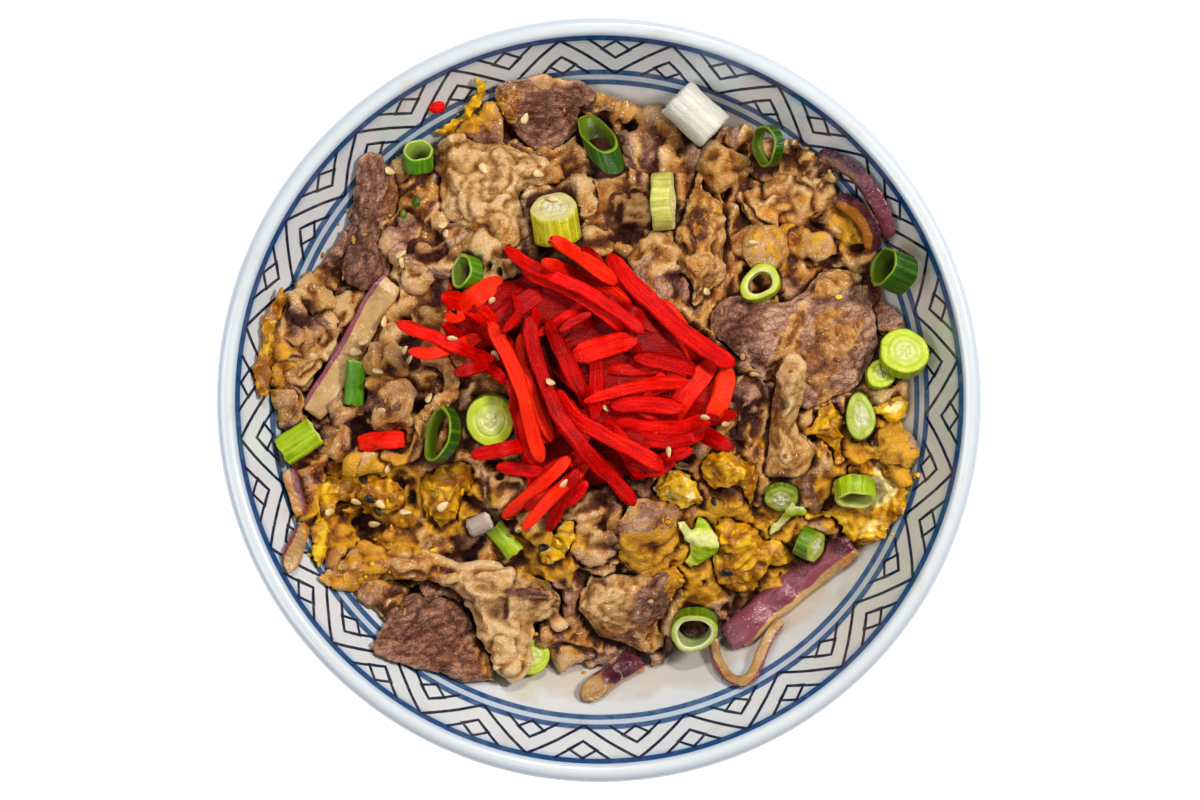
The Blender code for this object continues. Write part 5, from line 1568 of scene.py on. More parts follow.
@dataclass
class Stalk:
    """A cut length of spring onion: a ring or tube with a wall, or solid where the wall is 0.

    The radii are across and upright. azimuth and tilt turn its axis round the bowl's and up, and slant
    moves its upper side along, for an oblique cut. shown is the length and slant that it is drawn with,
    where they aren't its solid's. squeeze pulls the section in between its corners, layers is how many
    sheaths a solid one shows, and bite is how far one side of a cut sinks, the one it is facing.
    """

    name: str
    cut: Cut
    radii: tuple[float, float]
    wall: float
    length: float
    azimuth: float
    tilt: float
    slant: float = 0.0
    squeeze: float = 0.035
    layers: int = 4
    bite: float = 0.0
    facing: float = 90.0
    shown: tuple[float, float] = (0.0, 0.0)
    sides: int = 72

    TIPS: ClassVar[tuple[int, ...]] = (-8, 0, 8)

    @property
    def node(self) -> str:
        """The CAD node that the piece stands for."""
        return "spring_onion_" + self.name

    def loops(self) -> list[tuple[float, float, float, float]]:
        """Rings of the surface, from the skin's middle over both ends.

        Returns:
            For each ring its place along, its scale, how deep it lies under the skin, and 1 in the hollow.
        """
        half, wide = (self.shown[0] or self.length) / 2, min(self.radii)
        edge = min(0.45, self.wall * 0.42 if self.wall else 0.5)
        skin = [(float(x), 1.0, 0.0, 0.0) for x in np.linspace(-half + edge, half - edge, 9)]
        if not self.wall:
            return self.solid_loops(skin, half, edge, wide)
        rim = []
        for turn in np.linspace(0, math.pi, 9)[1:-1]:
            x = half - edge + edge * math.sin(turn)
            inward = self.wall * (1 - math.cos(turn)) / 2
            rim.append((x, 1 - inward / wide, inward / self.wall, 0.0))
        bore = 1 - self.wall / wide
        hollow = [(float(x), bore, 1.0, 1.0) for x in np.linspace(half - edge, edge - half, 9)]
        back = [(-x, scale, inward, 0.0) for x, scale, inward, _ in reversed(rim)]
        return skin + rim + hollow + back

    def solid_loops(self, skin: list, half: float, edge: float, wide: float) -> list:
        """Rings of a solid piece, whose cut faces step from sheath to sheath.

        Args:
            skin: The rings of the skin.
            half: Half the length.
            edge: The radius of its rounded edges.
            wide: The smaller radius of the section.

        Returns:
            The rings, as loops gives them.
        """
        end = []
        for share in np.linspace(0, 0.97, 34):
            inward = share * wide
            round_off = edge * (1 - math.sqrt(max(0.0, 1 - (1 - min(inward / edge, 1)) ** 2)))
            groove = 0.3 * math.exp(-(((share * self.layers + 0.35) % 1 - 0.5) / 0.14) ** 2) * (share > 0.1)
            crown = 0.35 * math.sqrt(share)
            end.append((half - round_off - groove + crown - 0.3, 1 - share, share, 0.0))
        front = end[1:]
        back = [(-x, scale, inward, 0.0) for x, scale, inward, _ in reversed(front)]
        return back + skin + front

    def rough_box(self, turn: Array) -> tuple[Array, Array]:
        """The box round the solid's own corners, once turned.

        Args:
            turn: The turn, as a matrix.

        Returns:
            The box's size and middle.
        """
        wide, deep = self.radii
        angles = 2 * np.pi * np.arange(16) / 16
        corners = []
        for end in (-self.length / 2, self.length / 2):
            for angle in angles:
                y, z = math.cos(angle), math.sin(angle)
                corners.append((end + self.slant * z, wide * y, deep * z))
        placed = np.array(corners) @ turn.T
        return placed.max(axis=0) - placed.min(axis=0), (placed.max(axis=0) + placed.min(axis=0)) / 2

    def pose(self) -> tuple[Array, Array]:
        """The turn and middle that fit the CAD node best.

        Returns:
            The turn, as a matrix, and the middle.
        """
        low, high = (np.array(corner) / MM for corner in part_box(self.node))
        best = None
        for tip, roll in itertools.product(self.TIPS, self.TIPS):
            angles = math.radians(roll), -math.radians(self.tilt + tip), math.radians(self.azimuth)
            turn = np.array(Euler(angles).to_matrix())
            size, middle = self.rough_box(turn)
            error = np.abs(size - (high - low)).sum() + 0.01 * (abs(tip) + abs(roll))
            if best is None or error < best[0]:
                best = (error, turn, (low + high) / 2 - middle)
        return best[1], best[2]

    def build(self, table: Table, material: bpy.types.Material) -> bpy.types.Object:
        """Makes the piece.

        Args:
            table: What it lies on.
            material: Its finish.

        Returns:
            The piece.
        """
        seed = seed_of(self.name)
        wide, deep = self.radii
        loops = self.loops()
        angles = 2 * np.pi * np.arange(self.sides) / self.sides
        bends = np.cos(2 * angles + seed) + 0.5 * np.cos(3 * angles + 2 * seed) - 1
        wobble = 1 + self.squeeze * bends
        points, inward, hollow, stalk = [], [], [], []
        length, slant = self.shown if self.shown[0] else (self.length, self.slant)
        side = np.cos(angles - math.radians(self.facing))
        for x, scale, deeper, in_hollow in loops:
            y, z = wide * scale * wobble * np.cos(angles), deep * scale * wobble * np.sin(angles)
            ragged = 0.16 * np.sin(5 * angles + seed) * (abs(x) > length / 2 - 1.2)
            bitten = self.bite * min(max(x / length + 0.5, 0.0), 1.0) * (0.5 + 0.5 * scale * side)
            points.append(np.stack([x + slant * side * scale + ragged - bitten, y, z], axis=1))
            inward.append(np.full(self.sides, deeper))
            hollow.append(np.full(self.sides, in_hollow))
            stalk.append(np.stack([inward[-1] * 0 + x, angles * wide, inward[-1] * 3], axis=1))
        points = np.concatenate(points)
        points += 0.2 * waves(points, 3.0, seed)[:, None] * (0.5, 1, 1)
        faces = band_faces(len(loops), self.sides, closed=bool(self.wall))
        if not self.wall:
            faces += cap_faces(len(loops), self.sides)
        turn, middle = self.pose()
        shell = Shell.of_arrays(points @ turn.T + middle, faces)
        shell.paint = {
            "mark": np.concatenate(inward), "tone": np.concatenate(hollow), "fibre": np.concatenate(stalk),
            "depth": table.depth(shell.points),
        }
        table.dressed.raise_to(shell.points)
        return shell.finish(self.node + "_cut", material, Slot.SPRING_ONION, [self.node])


@dataclass
class Sprig(Draped):
    """A curled scrap of spring onion leaf."""

    ENDING: ClassVar[str] = "_leaf"
    SLOT: ClassVar[Slot] = Slot.SPRING_ONION

    def relief(self, points: Array, mark: Array) -> tuple[Array, Array]:
        """Small folds.

        Args:
            points: The points.
            mark: Their share of the second substance.

        Returns:
            The height to push each point out by, and the crest value.
        """
        seed = seed_of(self.node)
        big = lumps(points, 3.4, seed)
        return 0.45 * (big - 0.5) + 0.25 * waves(points, 1.8, seed + 1), big

    def shape(self, table: Table) -> Shell:
        """The finished form, paler in patches as if cut.

        Args:
            table: What the piece is laid on.

        Returns:
            The form.
        """
        shell = super().shape(table)
        shell.paint["mark"] = 0.7 * smooth(waves(shell.points, 4.5, 3), 0.0, 0.4)
        shell.paint["tone"] = np.zeros(len(shell.points))
        return shell


@dataclass(frozen=True)
class Ginger:
    """Red pickled ginger: saturated, wet and a little see-through."""

    deep: Colour = screen(146, 0, 0)
    red: Colour = screen(228, 6, 0)
    orange: Colour = screen(250, 58, 16)

    def material(self) -> bpy.types.Material:
        """The finish of all ginger.

        Returns:
            The material.
        """
        graph = Graph("pickled_ginger_wet")
        place, fibre = graph.place(), graph.painted_vector("fibre")
        tone, depth = graph.painted("tone"), graph.painted("depth")
        strands = graph.noise(graph.stretched(fibre, (0.07, 1.0, 1.0)), 0.7, 2.0)
        blotch, fine = graph.noise(place, 5.0, 2.0), graph.noise(place, 0.5, 3.0)
        level = (tone * 0.9 + blotch * 0.35 + strands * 0.6 + fine * 0.35 - 0.6).rise(0.0, 1.0)
        colour = graph.ramp(level, [(0.0, self.deep), (0.45, self.red), (1.0, self.orange)])
        glints = graph.cells(place, 0.6).rise(0.4, 0.1) * graph.noise(place, 3.0, 4.0).rise(0.5, 0.64)
        colour = graph.mix(glints * 0.4, colour, screen(255, 112, 80))
        # Painted shade: crevices between strips darken to deep red, by depth.
        colour = graph.mix((depth * 1.1 - 0.25).least(0.85).most(0.0), colour, screen(84, 0, 1))
        return graph.surface({
            "Base Color": colour,
            "Roughness": 0.3 + blotch * 0.25,
            "Normal": graph.bump(strands * 0.55 + fine * 0.45, 0.45),
            "Specular IOR Level": 0.14,
            "Subsurface Weight": 0.25,
            "Subsurface Radius": (1.0, 0.08, 0.04),
            "Subsurface Scale": 1.8 * MM,
        })


@dataclass
class GingerStub(Draped):
    """A short thick piece of ginger that lies apart."""

    ENDING: ClassVar[str] = "_wet"
    SLOT: ClassVar[Slot] = Slot.GINGER

    def relief(self, points: Array, mark: Array) -> tuple[Array, Array]:
        """Soft dents.

        Args:
            points: The points.
            mark: Their share of the second substance.

        Returns:
            The height to push each point out by, and the crest value.
        """
        seed = seed_of(self.node)
        dents = waves(points, 3.0, seed)
        return 0.25 * dents, 0.5 + 0.5 * dents


@dataclass
class GingerHeap:
    """The strips of ginger over a low core, each from its path in plan and its width, from the lowest up."""

    strips: tuple[tuple[tuple[Point, ...], float], ...]
    thick: float = 2.8
    step: float = 0.7
    edge: float = 0.3
    fillers: int = 30

    def course(self, path: Sequence[Point]) -> Array:
        """Points at an even spacing along a smooth curve through a path.

        Args:
            path: The path's points.

        Returns:
            The curve's points.
        """
        corners = np.array([path[0], *path, path[-1]], dtype=float)
        dense = []
        for p0, p1, p2, p3 in zip(corners, corners[1:], corners[2:], corners[3:]):
            for t in np.arange(0, 1, 1 / 16):
                square, cube = 2 * p0 - 5 * p1 + 4 * p2 - p3, 3 * p1 - p0 - 3 * p2 + p3
                dense.append(0.5 * (2 * p1 + (p2 - p0) * t + square * t**2 + cube * t**3))
        dense = np.array(dense + [corners[-1]])
        along = np.concatenate([[0.0], np.cumsum(np.linalg.norm(np.diff(dense, axis=0), axis=1))])
        places = np.linspace(0, along[-1], int(along[-1] / self.step) + 2)
        return np.stack([np.interp(places, along, dense[:, axis]) for axis in (0, 1)], axis=1)

    def filling(self) -> list[tuple[tuple[Point, ...], float]]:
        """More strips for the bottom of the heap, each close to one of the table and nearly in line with it.

        Returns:
            Their paths and widths.
        """
        added = []
        for number in range(self.fillers):
            path, width = self.strips[(5 * number + 7) % len(self.strips)]
            chance = scatter(np.array([[number, axis, 9] for axis in range(4)]), 17)
            middle = np.array(path[len(path) // 2]) * 0.85 + 5.5 * chance[:2] + (0.5, 0.5)
            ahead = np.array(path[-1]) - np.array(path[0])
            angle = math.atan2(ahead[1], ahead[0]) + 0.45 * chance[2]
            half = (11 + 3 * chance[3]) * np.array((math.cos(angle), math.sin(angle)))
            bow = 1.5 * chance[0] * np.array((-math.sin(angle), math.cos(angle)))
            added.append((tuple(map(tuple, (middle - half, middle + bow, middle + half))), width))
        return added

    def strip(self, ceiling: Relief, strips: Sequence, number: int) -> tuple[Array, list, Array, Array]:
        """One strip that hangs just under the ceiling, which then comes down to its underside.

        Args:
            ceiling: The highest that anything may still reach.
            strips: The path and width of every strip.
            number: The strip's place among them.

        Returns:
            Its points, faces, fibre coordinates and tone.
        """
        path, width = strips[number]
        seed = 31 + 7 * number
        middle = self.course(path)
        count = len(middle)
        ahead = np.gradient(middle, axis=0)
        ahead /= np.linalg.norm(ahead, axis=1)[:, None]
        left = np.stack([-ahead[:, 1], ahead[:, 0]], axis=1)
        tops = [ceiling.at(middle + left * width * shift) for shift in (-0.3, 0.0, 0.3)]
        top = np.minimum(np.sort(np.stack(tops), axis=0)[1], tops[1])
        window = np.exp(-((np.arange(-6, 7) * self.step / 2.6) ** 2))
        top = np.convolve(np.pad(top, 6, mode="edge"), window / window.sum(), mode="valid")
        spots = np.column_stack([middle, top])
        twist = 0.5 * waves(spots, 16.0, seed)
        wide = width / 2 * (0.93 + 0.12 * waves(spots, 9.0, seed + 1))
        deep = self.thick / 2 * (0.95 + 0.15 * waves(spots, 8.0, seed + 2))
        ends = np.minimum(np.arange(count), np.arange(count)[::-1]) * self.step
        taper = 0.25 + 0.75 * np.sqrt(np.clip(ends / 3.4, 0, 1))
        points, fibre, sides = [], [], 12
        for k in range(count):
            half, tall = wide[k] * taper[k], deep[k] * taper[k]
            cut = min(self.edge, 0.4 * half, 0.4 * tall)
            y = (half, half, half - cut, 0, cut - half, -half, -half, -half, cut - half, 0, half - cut, half)
            z = (0, tall - cut, tall, tall, tall, tall - cut, 0, cut - tall, -tall, -tall, -tall, cut - tall)
            y, z = np.array(y), np.array(z)
            across = y * math.cos(twist[k]) - z * math.sin(twist[k])
            up = y * math.sin(twist[k]) + z * math.cos(twist[k])
            points.append(np.column_stack([middle[k] + left[k] * across[:, None], top[k] - deep[k] + up]))
            fibre.append(np.stack([np.full(sides, k * self.step + 40 * number), y, z], axis=1))
        points = np.concatenate(points)
        points += 0.13 * waves(points, 2.6, seed + 3)[:, None]
        faces = band_faces(count, sides) + cap_faces(count, sides)
        self.lower(ceiling, middle, left, width, top - 2 * deep + 0.7)
        # Strips are toned at random, and the filler strips at the bottom of the heap a little darker: painted
        # shade.
        shade = 0.55 + 0.36 * float(scatter(np.array([number, 3, 5]), 7)) - 0.14 * (number < self.fillers)
        tone = np.full(len(points), shade)
        return points, faces, np.concatenate(fibre), tone

    @staticmethod
    def lower(ceiling: Relief, middle: Array, left: Array, width: float, underside: Array) -> None:
        """Brings the ceiling down to a strip's underside.

        Args:
            ceiling: The highest that anything may still reach.
            middle: The strip's middle line.
            left: The direction to its left along it.
            width: Its width.
            underside: Its underside's height.
        """
        for shift in np.linspace(-0.55, 0.55, 2 * int(width / Relief.CELL) + 3):
            rows, columns = ceiling.spot(middle + left * width * shift)
            np.minimum.at(ceiling.height, (rows, columns), underside)

    def build(self, table: Table, material: bpy.types.Material) -> list[bpy.types.Object]:
        """Makes the core and the strips.

        Args:
            table: What they lie on.
            material: Their finish.

        Returns:
            The two pieces.
        """
        ceiling = Relief(200.0)
        own = Relief()
        Table.add_node(own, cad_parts["pickled_ginger"])
        ceiling.height = np.where(own.height > 0, own.height, own.blurred(2.0).height.max())
        core = Shell.of_node("pickled_ginger", 0.7)
        core.soften(6)
        count = len(core.points)
        core.push(np.full(count, -0.7))
        # Painted shade: the core, seen only in the gaps under the strips, gets the darkest tone.
        core.paint = {"tone": np.full(count, 0.05), "depth": table.depth(core.points), "fibre": core.points}
        strips = self.filling() + list(self.strips)
        parts = [self.strip(ceiling, strips, number) for number in reversed(range(len(strips)))]
        shell = Shell.of_arrays(*merged(part[:2] for part in parts))
        shell.paint = {
            "fibre": np.concatenate([part[2] for part in parts]),
            "tone": np.concatenate([part[3] for part in parts]), "depth": table.depth(shell.points),
        }
        table.dressed.raise_to(shell.points)
        return [
            core.finish("ginger_core", material, Slot.GINGER, ["pickled_ginger"]),
            shell.finish("ginger_strips", material, Slot.GINGER, [], 34.0),
        ]


@dataclass(frozen=True)
class Sesame:
    """The dry skin of a sesame seed, ivory or black."""

    name: str
    skin: Colour
    edge: Colour

    def material(self) -> bpy.types.Material:
        """The finish of one kind of seed.

        Returns:
            The material.
        """
        graph = Graph(self.name)
        place = graph.place()
        blotch = graph.noise(place, 1.3, 2.0)
        rib = graph.painted("mark")
        colour = graph.mix((blotch * 0.8 + rib * 0.5 - 0.2).least(1.0).most(0.0), self.skin, self.edge)
        height = graph.noise(place, 0.25, 2.0)
        return graph.surface({
            "Base Color": colour,
            "Roughness": 0.34 + blotch * 0.12,
            "Normal": graph.bump(height, 0.05),
            "Coat Weight": 0.3,
            "Coat Roughness": 0.2,
            "Subsurface Weight": 0.1,
            "Subsurface Radius": (1.0, 0.8, 0.5),
            "Subsurface Scale": 0.5 * MM,
        })


@dataclass
class Crumbs:
    """Loose scraps of one kind: small uneven lumps on the dressed food, as one mesh.

    areas are ellipses that carry scraps, each with its number of them as its mark, and places are single
    ones as x, y and radius.
    """

    name: str
    areas: tuple[Patch, ...] = ()
    places: tuple[tuple[float, float, float], ...] = ()
    size: float = 0.8
    mark: float = 0.1

    def spots(self) -> list[tuple[float, float, float]]:
        """The place and radius of every scrap.

        Returns:
            X, Y and radius of each.
        """
        made = list(self.places)
        for number, area in enumerate(self.areas):
            turn = math.radians(area.turn)
            for scrap in range(int(area.mark)):
                a, b, c = scatter(np.array([[number, scrap, axis] for axis in range(3)]), seed_of(self.name))
                along, across = a * area.long, b * area.wide * math.sqrt(max(0.0, 1 - a * a))
                x = area.x + along * math.cos(turn) - across * math.sin(turn)
                y = area.y + along * math.sin(turn) + across * math.cos(turn)
                made.append((x, y, self.size * (1 + 0.5 * c)))
        return made

    def build(self, table: Table, material: bpy.types.Material, slot: Slot) -> bpy.types.Object:
        """Lays every scrap.

        Args:
            table: What they lie on.
            material: Their finish.
            slot: The slot of the record that they belong to.

        Returns:
            The piece.
        """
        shape, wall, parts = ball(8, 10), Bowl(), []
        for x, y, radius in self.spots():
            height = max(float(table.dressed.at(np.array([[x, y]]))[0]), wall.height(math.hypot(x, y)))
            middle = np.array((x, y, height + 0.25 * radius))
            swell = 1 + 0.45 * waves(shape * radius + middle, 1.6 * radius, 5)
            long = 1 + 0.35 * math.sin(7 * x)
            points = shape * swell[:, None] * radius * (long, 1 / long, 0.7) + middle
            parts.append((points, band_faces(8, 10)))
        shell = Shell.of_arrays(*merged(parts))
        count = len(shell.points)
        chance = scatter(np.array([[number, 5, 5] for number in range(len(parts))]), 3)
        chance = np.repeat(chance, len(shape))
        shell.paint = {
            "mark": np.clip(self.mark + 0.15 * chance, 0, 1), "tone": 0.45 + 0.3 * chance,
            "crest": np.full(count, 0.6), "depth": np.zeros(count), "gold": table.gold(shell.points),
            "fibre": shell.points,
        }
        return shell.finish(self.name, material, slot, [])


@dataclass
class Seeds:
    """Loose sesame seeds of one kind, each at a place in plan with a turn, as one mesh."""

    name: str
    finish: Sesame
    places: tuple[tuple[float, float, float], ...]
    size: tuple[float, float, float] = (3.2, 2.0, 1.0)

    def build(self, table: Table) -> bpy.types.Object:
        """Lays every seed on the dressed food.

        Args:
            table: What they lie on.

        Returns:
            The piece.
        """
        length, width, thick = (value / 2 for value in self.size)
        shape = ball(10, 14)
        along = shape[:, 2]
        belly = np.maximum(np.hypot(shape[:, 0], shape[:, 1]), 1e-9) ** -0.1 * (1 - 0.36 * along)
        shape = np.stack([length * along, width * belly * shape[:, 0], thick * belly * shape[:, 1]], axis=1)
        spots = np.array(self.places)
        steps = itertools.product((-0.5, 0, 0.5), repeat=2)
        heights = np.max([table.dressed.at(spots[:, :2] + step) for step in steps], axis=0)
        heights = np.maximum(heights, table.solid.at(spots) - 2.5) + thick * 0.75
        parts = []
        for number, (lean, height) in enumerate(zip(table.dressed.slope(spots, 1.5), heights)):
            x, y, turn = self.places[number]
            grow = 1 + 0.1 * float(scatter(np.array([number, 1, 1]), 3))
            lean = lean * 0.6 + (0, 0, 0.4)
            lean /= np.linalg.norm(lean)
            ahead = np.array((math.cos(math.radians(turn)), math.sin(math.radians(turn)), 0.0))
            ahead -= lean * (ahead @ lean)
            ahead /= np.linalg.norm(ahead)
            axes = np.stack([ahead, np.cross(lean, ahead), lean])
            parts.append((grow * shape @ axes + (x, y, height), band_faces(10, 14)))
        shell = Shell.of_arrays(*merged(parts))
        shell.paint = {"mark": np.tile(np.maximum(along, 0) ** 3, len(parts))}
        return shell.finish(self.name, self.finish.material(), Slot.FAT, [])

GOLD_PATCHES = (
    Patch(-62, -30, 19, 14, 0, 1.0, 0), Patch(-64, -48, 14, 5, 10, 0.6, 0),
    Patch(-39, -27, 11, 11, 0, 0.9, 0), Patch(-14, -40, 13, 8, -20, 0.8, 0),
    Patch(34, -40, 20, 14, 0, 1.0, 0), Patch(72, -22, 15, 18, 0, 1.0, 0),
    Patch(-36, 76, 11, 6, 40, 0.7, 0), Patch(0, -68, 20, 6, 0, 0.4, 0), Patch(58, 26, 14, 8, 60, 0.2, 0),
    Patch(69, 46, 9, 6, -50, 0.9, 0), Patch(14, -41, 9, 5, -20, 0.9, 0), Patch(52, 46, 16, 8, 20, 0.55, 0),
    Patch(-87, 8, 4, 22, 0, 0.7, 0), Patch(28, 45, 12, 6, 76, 0.5, 0), Patch(60, 40, 14, 8, 30, 0.5, 0),
    Patch(40, -12, 12, 12, 0, 0.5, 0),
)

BEEF_SLICES = (
    BeefSlice("beef_tall_slice", 0.06, 0.36, 68.0, (
        Patch(-60, 58, 8, 5, 80, 0.1, 0.5), Patch(-55, 51, 6, 2.2, 80, 0.5, 0.4),
        Patch(-61, 36, 9, 7, 10, 0.05, 0.22))),
    BeefSlice("beef_top_slice", 0.08, 0.58, -14.0, (
        Patch(-25, 76, 8, 3.2, 62, 0.95, 0.5), Patch(-10, 78, 9, 7, 0, 0.05, 0.3),
        Patch(-16, 83, 9, 2, 8, 0.5, 0.6))),
    BeefSlice("beef_pale_slice", 0.97, 0.9, 20.0, (
        Patch(-42, 60, 4, 8, 0, 0.95, 0.55), Patch(-30, 43, 10, 4, 0, 0.7, 0.6),
        Patch(-12, 59, 4, 4, 0, 0.6, 0.45)), lobe=0.9, fold=0.9, ruffle=0.15),
    BeefSlice("beef_golden_ruffle", 0.95, 0.68, 24.0, (
        Patch(57, 50, 7, 4, 30, 0.95, 0.72),), lobe=1.0, fold=0.9, ruffle=1.0, ribbon=4.2),
    BeefSlice("beef_long_slice", 0.22, 0.72, 24.0, (
        Patch(36, 20, 8, 6, 20, 0.1, 0.34), Patch(62, 16, 9, 6, 80, 0.6, 0.62),
        Patch(50, 8, 7, 5, 40, 0.55, 0.55), Patch(63, 31, 8, 3, 20, 0.85, 0.6),
        Patch(49, 14, 11, 2.6, 70, 0.9, 0.6), Patch(58, 6, 3, 8, 10, 0.5, 0.6)), fold=1.0),
    BeefSlice("beef_dark_slice", 0.03, 0.46, 8.0, (
        Patch(-29, -68, 9, 3.4, -62, 0.9, 0.62), Patch(-46, -60, 12, 7, -20, 0.02, 0.36)), fold=0.5),
    BeefSlice("beef_hook_fold", 0.8, 0.56, -60.0, (Patch(-45, 6, 5, 3, 40, 0.3, 0.42),), lobe=0.9),
    BeefSlice("beef_left_ruffle", 0.88, 0.66, 60.0, (
        Patch(-72, 16, 6, 3, 60, 0.9, 0.8),), lobe=1.0, fold=0.9, ruffle=1.0, ribbon=3.8),
    BeefSlice("beef_wavy_slice", 0.94, 0.88, -8.0, (
        Patch(-19, -51, 6, 1.5, -4, 0.05, 0.2), Patch(-28, -62, 12, 7, -60, 0.97, 0.95),
        Patch(-64, -46, 9, 4, 10, 0.9, 0.5), Patch(-46, -45, 10, 3, 0, 0.75, 0.42)),
        lobe=1.0, fold=1.0, ruffle=0.7, ribbon=4.0),
    BeefSlice("beef_folded_slice", 0.92, 0.66, 30.0, (
        Patch(14, -53, 9, 5, 60, 0.1, 0.3), Patch(10, -62, 8, 3, 20, 0.5, 0.5),
        Patch(2, -54, 6, 7, 60, 0.97, 0.8)), lobe=0.95, fold=0.9),
    BeefSlice("beef_fat_ridge", 0.92, 0.84, 84.0, (
        Patch(53, -15, 4, 6, 0, 0.9, 0.75), Patch(45, 0, 8, 2, 85, 0.5, 0.4)), lobe=0.55, fold=0.6),
    BeefSlice("beef_golden_loop", 0.9, 0.74, 76.0, (
        Patch(26, 46, 5, 2.2, 80, 0.4, 0.0), Patch(28, 56, 5, 4, 60, 0.9, 0.62),
        Patch(28, 31, 6, 4, 60, 0.9, 0.66)), lobe=0.95, fold=0.9, ruffle=0.5, ribbon=4.6),
)

HEAP = BeefSlice("beef_heap", 0.45, 0.34, 30.0, (
    Patch(-29, 39, 9, 11, 0, 0.97, 0.85), Patch(-36, 40, 5, 6, 0, 0.7, 0.6),
    Patch(-52, 43, 5, 4, 50, 0.1, 0.3), Patch(-46.5, 38, 4, 3, 60, 0.1, 0.45),
    Patch(-48, 32, 4, 3, 30, 0.6, 0.6), Patch(-75, 32, 9, 3, 20, 0.8, 0.58),
    Patch(-65, 25, 5, 4, 30, 0.8, 0.6), Patch(-55, 12, 6, 5, 60, 0.85, 0.62),
    Patch(-54, 0, 6, 5, -10, 0.25, 0.45), Patch(-66, -2, 4, 3, 0, 0.8, 0.56),
    Patch(-62, -13, 13, 3, -15, 0.3, 0.5), Patch(-61, -55, 3, 5, 0, 0.3, 0.4),
    Patch(-21, -28, 10, 5, -60, 0.7, 0.5), Patch(-2, -36, 8, 3, -70, 0.85, 0.72),
    Patch(3, -38, 4, 2, 80, 0.2, 0.3), Patch(13, -36, 9, 7, 0, 0.12, 0.38),
    Patch(34, -56, 5, 4, 0, 0.2, 0.45), Patch(37, -4, 8, 5, 80, 0.25, 0.45),
    Patch(42, 40, 6, 4, 0, 0.85, 0.45), Patch(57, 41, 7, 4, 20, 0.85, 0.5),
    Patch(9, 74, 5, 3, 60, 0.8, 0.6), Patch(7, 46, 8, 4, 80, 0.85, 0.7),
    Patch(-5, 52, 4, 3, 60, 0.9, 0.62), Patch(-1, 42, 3, 3, 0, 0.9, 0.6),
    Patch(15, 34, 8, 4, 70, 0.3, 0.5), Patch(17, -67, 4, 3, 30, 0.05, 0.25),
    Patch(15, 74, 3, 2, 20, 0.1, 0.3), Patch(52, 68, 6, 5, -20, 0.75, 0.5),
    Patch(79, -12, 5, 4, 0, 0.2, 0.25), Patch(34, 61, 5, 6, 0, 0.9, 0.66),
    Patch(-77, 21, 6, 5, 0, 0.1, 0.16), Patch(17, 66, 10, 5, 0, 0.7, 0.55),
    Patch(-7, -70, 7, 2, 0, 0.9, 0.5),
), grain=0.87, fold=0.6, lobe=0.85, ruffle=0.7, ribbon=3.9, flaps=Flaps(9.8, 13.5, 6.8, 3.0), spill=Spill((
    (-15, 84), (-8, 82), (10, 80), (24, 82), (48, 86), (62, 80), (76, 77), (90, 80), (105, 85),
    (118, 82), (135, 81), (150, 82), (170, 87), (188, 83), (205, 84), (222, 82), (234, 80),
)))

EGG_CURDS = (
    EggCurd("egg_left_edge", 0.0, 0.1, 0.0, (Patch(-87, 17, 5, 3, 60, 0.0, 0.5),)),
    EggCurd("egg_top_left", 0.15, 0.6),
    EggCurd("egg_right_glossy", 0.3, 0.6, 0.0, (Patch(78, -2, 3, 1.5, 20, 0.9, 0.8),)),
    EggCurd("egg_right_large", 0.12, 0.42, 0.0, (
        Patch(75.5, -21, 8, 3.4, 80, 0.95, 0.9), Patch(70, -34, 5, 3, 30, 0.4, 0.6),
        Patch(60, -30, 7, 1.6, 0, 0.2, 0.6))),
    EggCurd("egg_left_large", 0.08, 0.4, 0.0, (
        Patch(-74, -30, 12, 2.4, 86, 0.15, 0.85), Patch(-60, -25, 8, 4, 10, 0.1, 0.28))),
    EggCurd("egg_golden_knob", 0.08, 0.42), EggCurd("egg_by_ginger", 0.12, 0.48),
    EggCurd("egg_right_ruffle", 0.1, 0.48, 0.0, (Patch(36, -46, 6, 4, 0, 0.1, 0.3),)),
    EggCurd("egg_right_fold", 0.15, 0.46),
    EggCurd("egg_striped", 0.42, 0.6, -68.0), EggCurd("egg_right_drape", 0.1, 0.42),
)

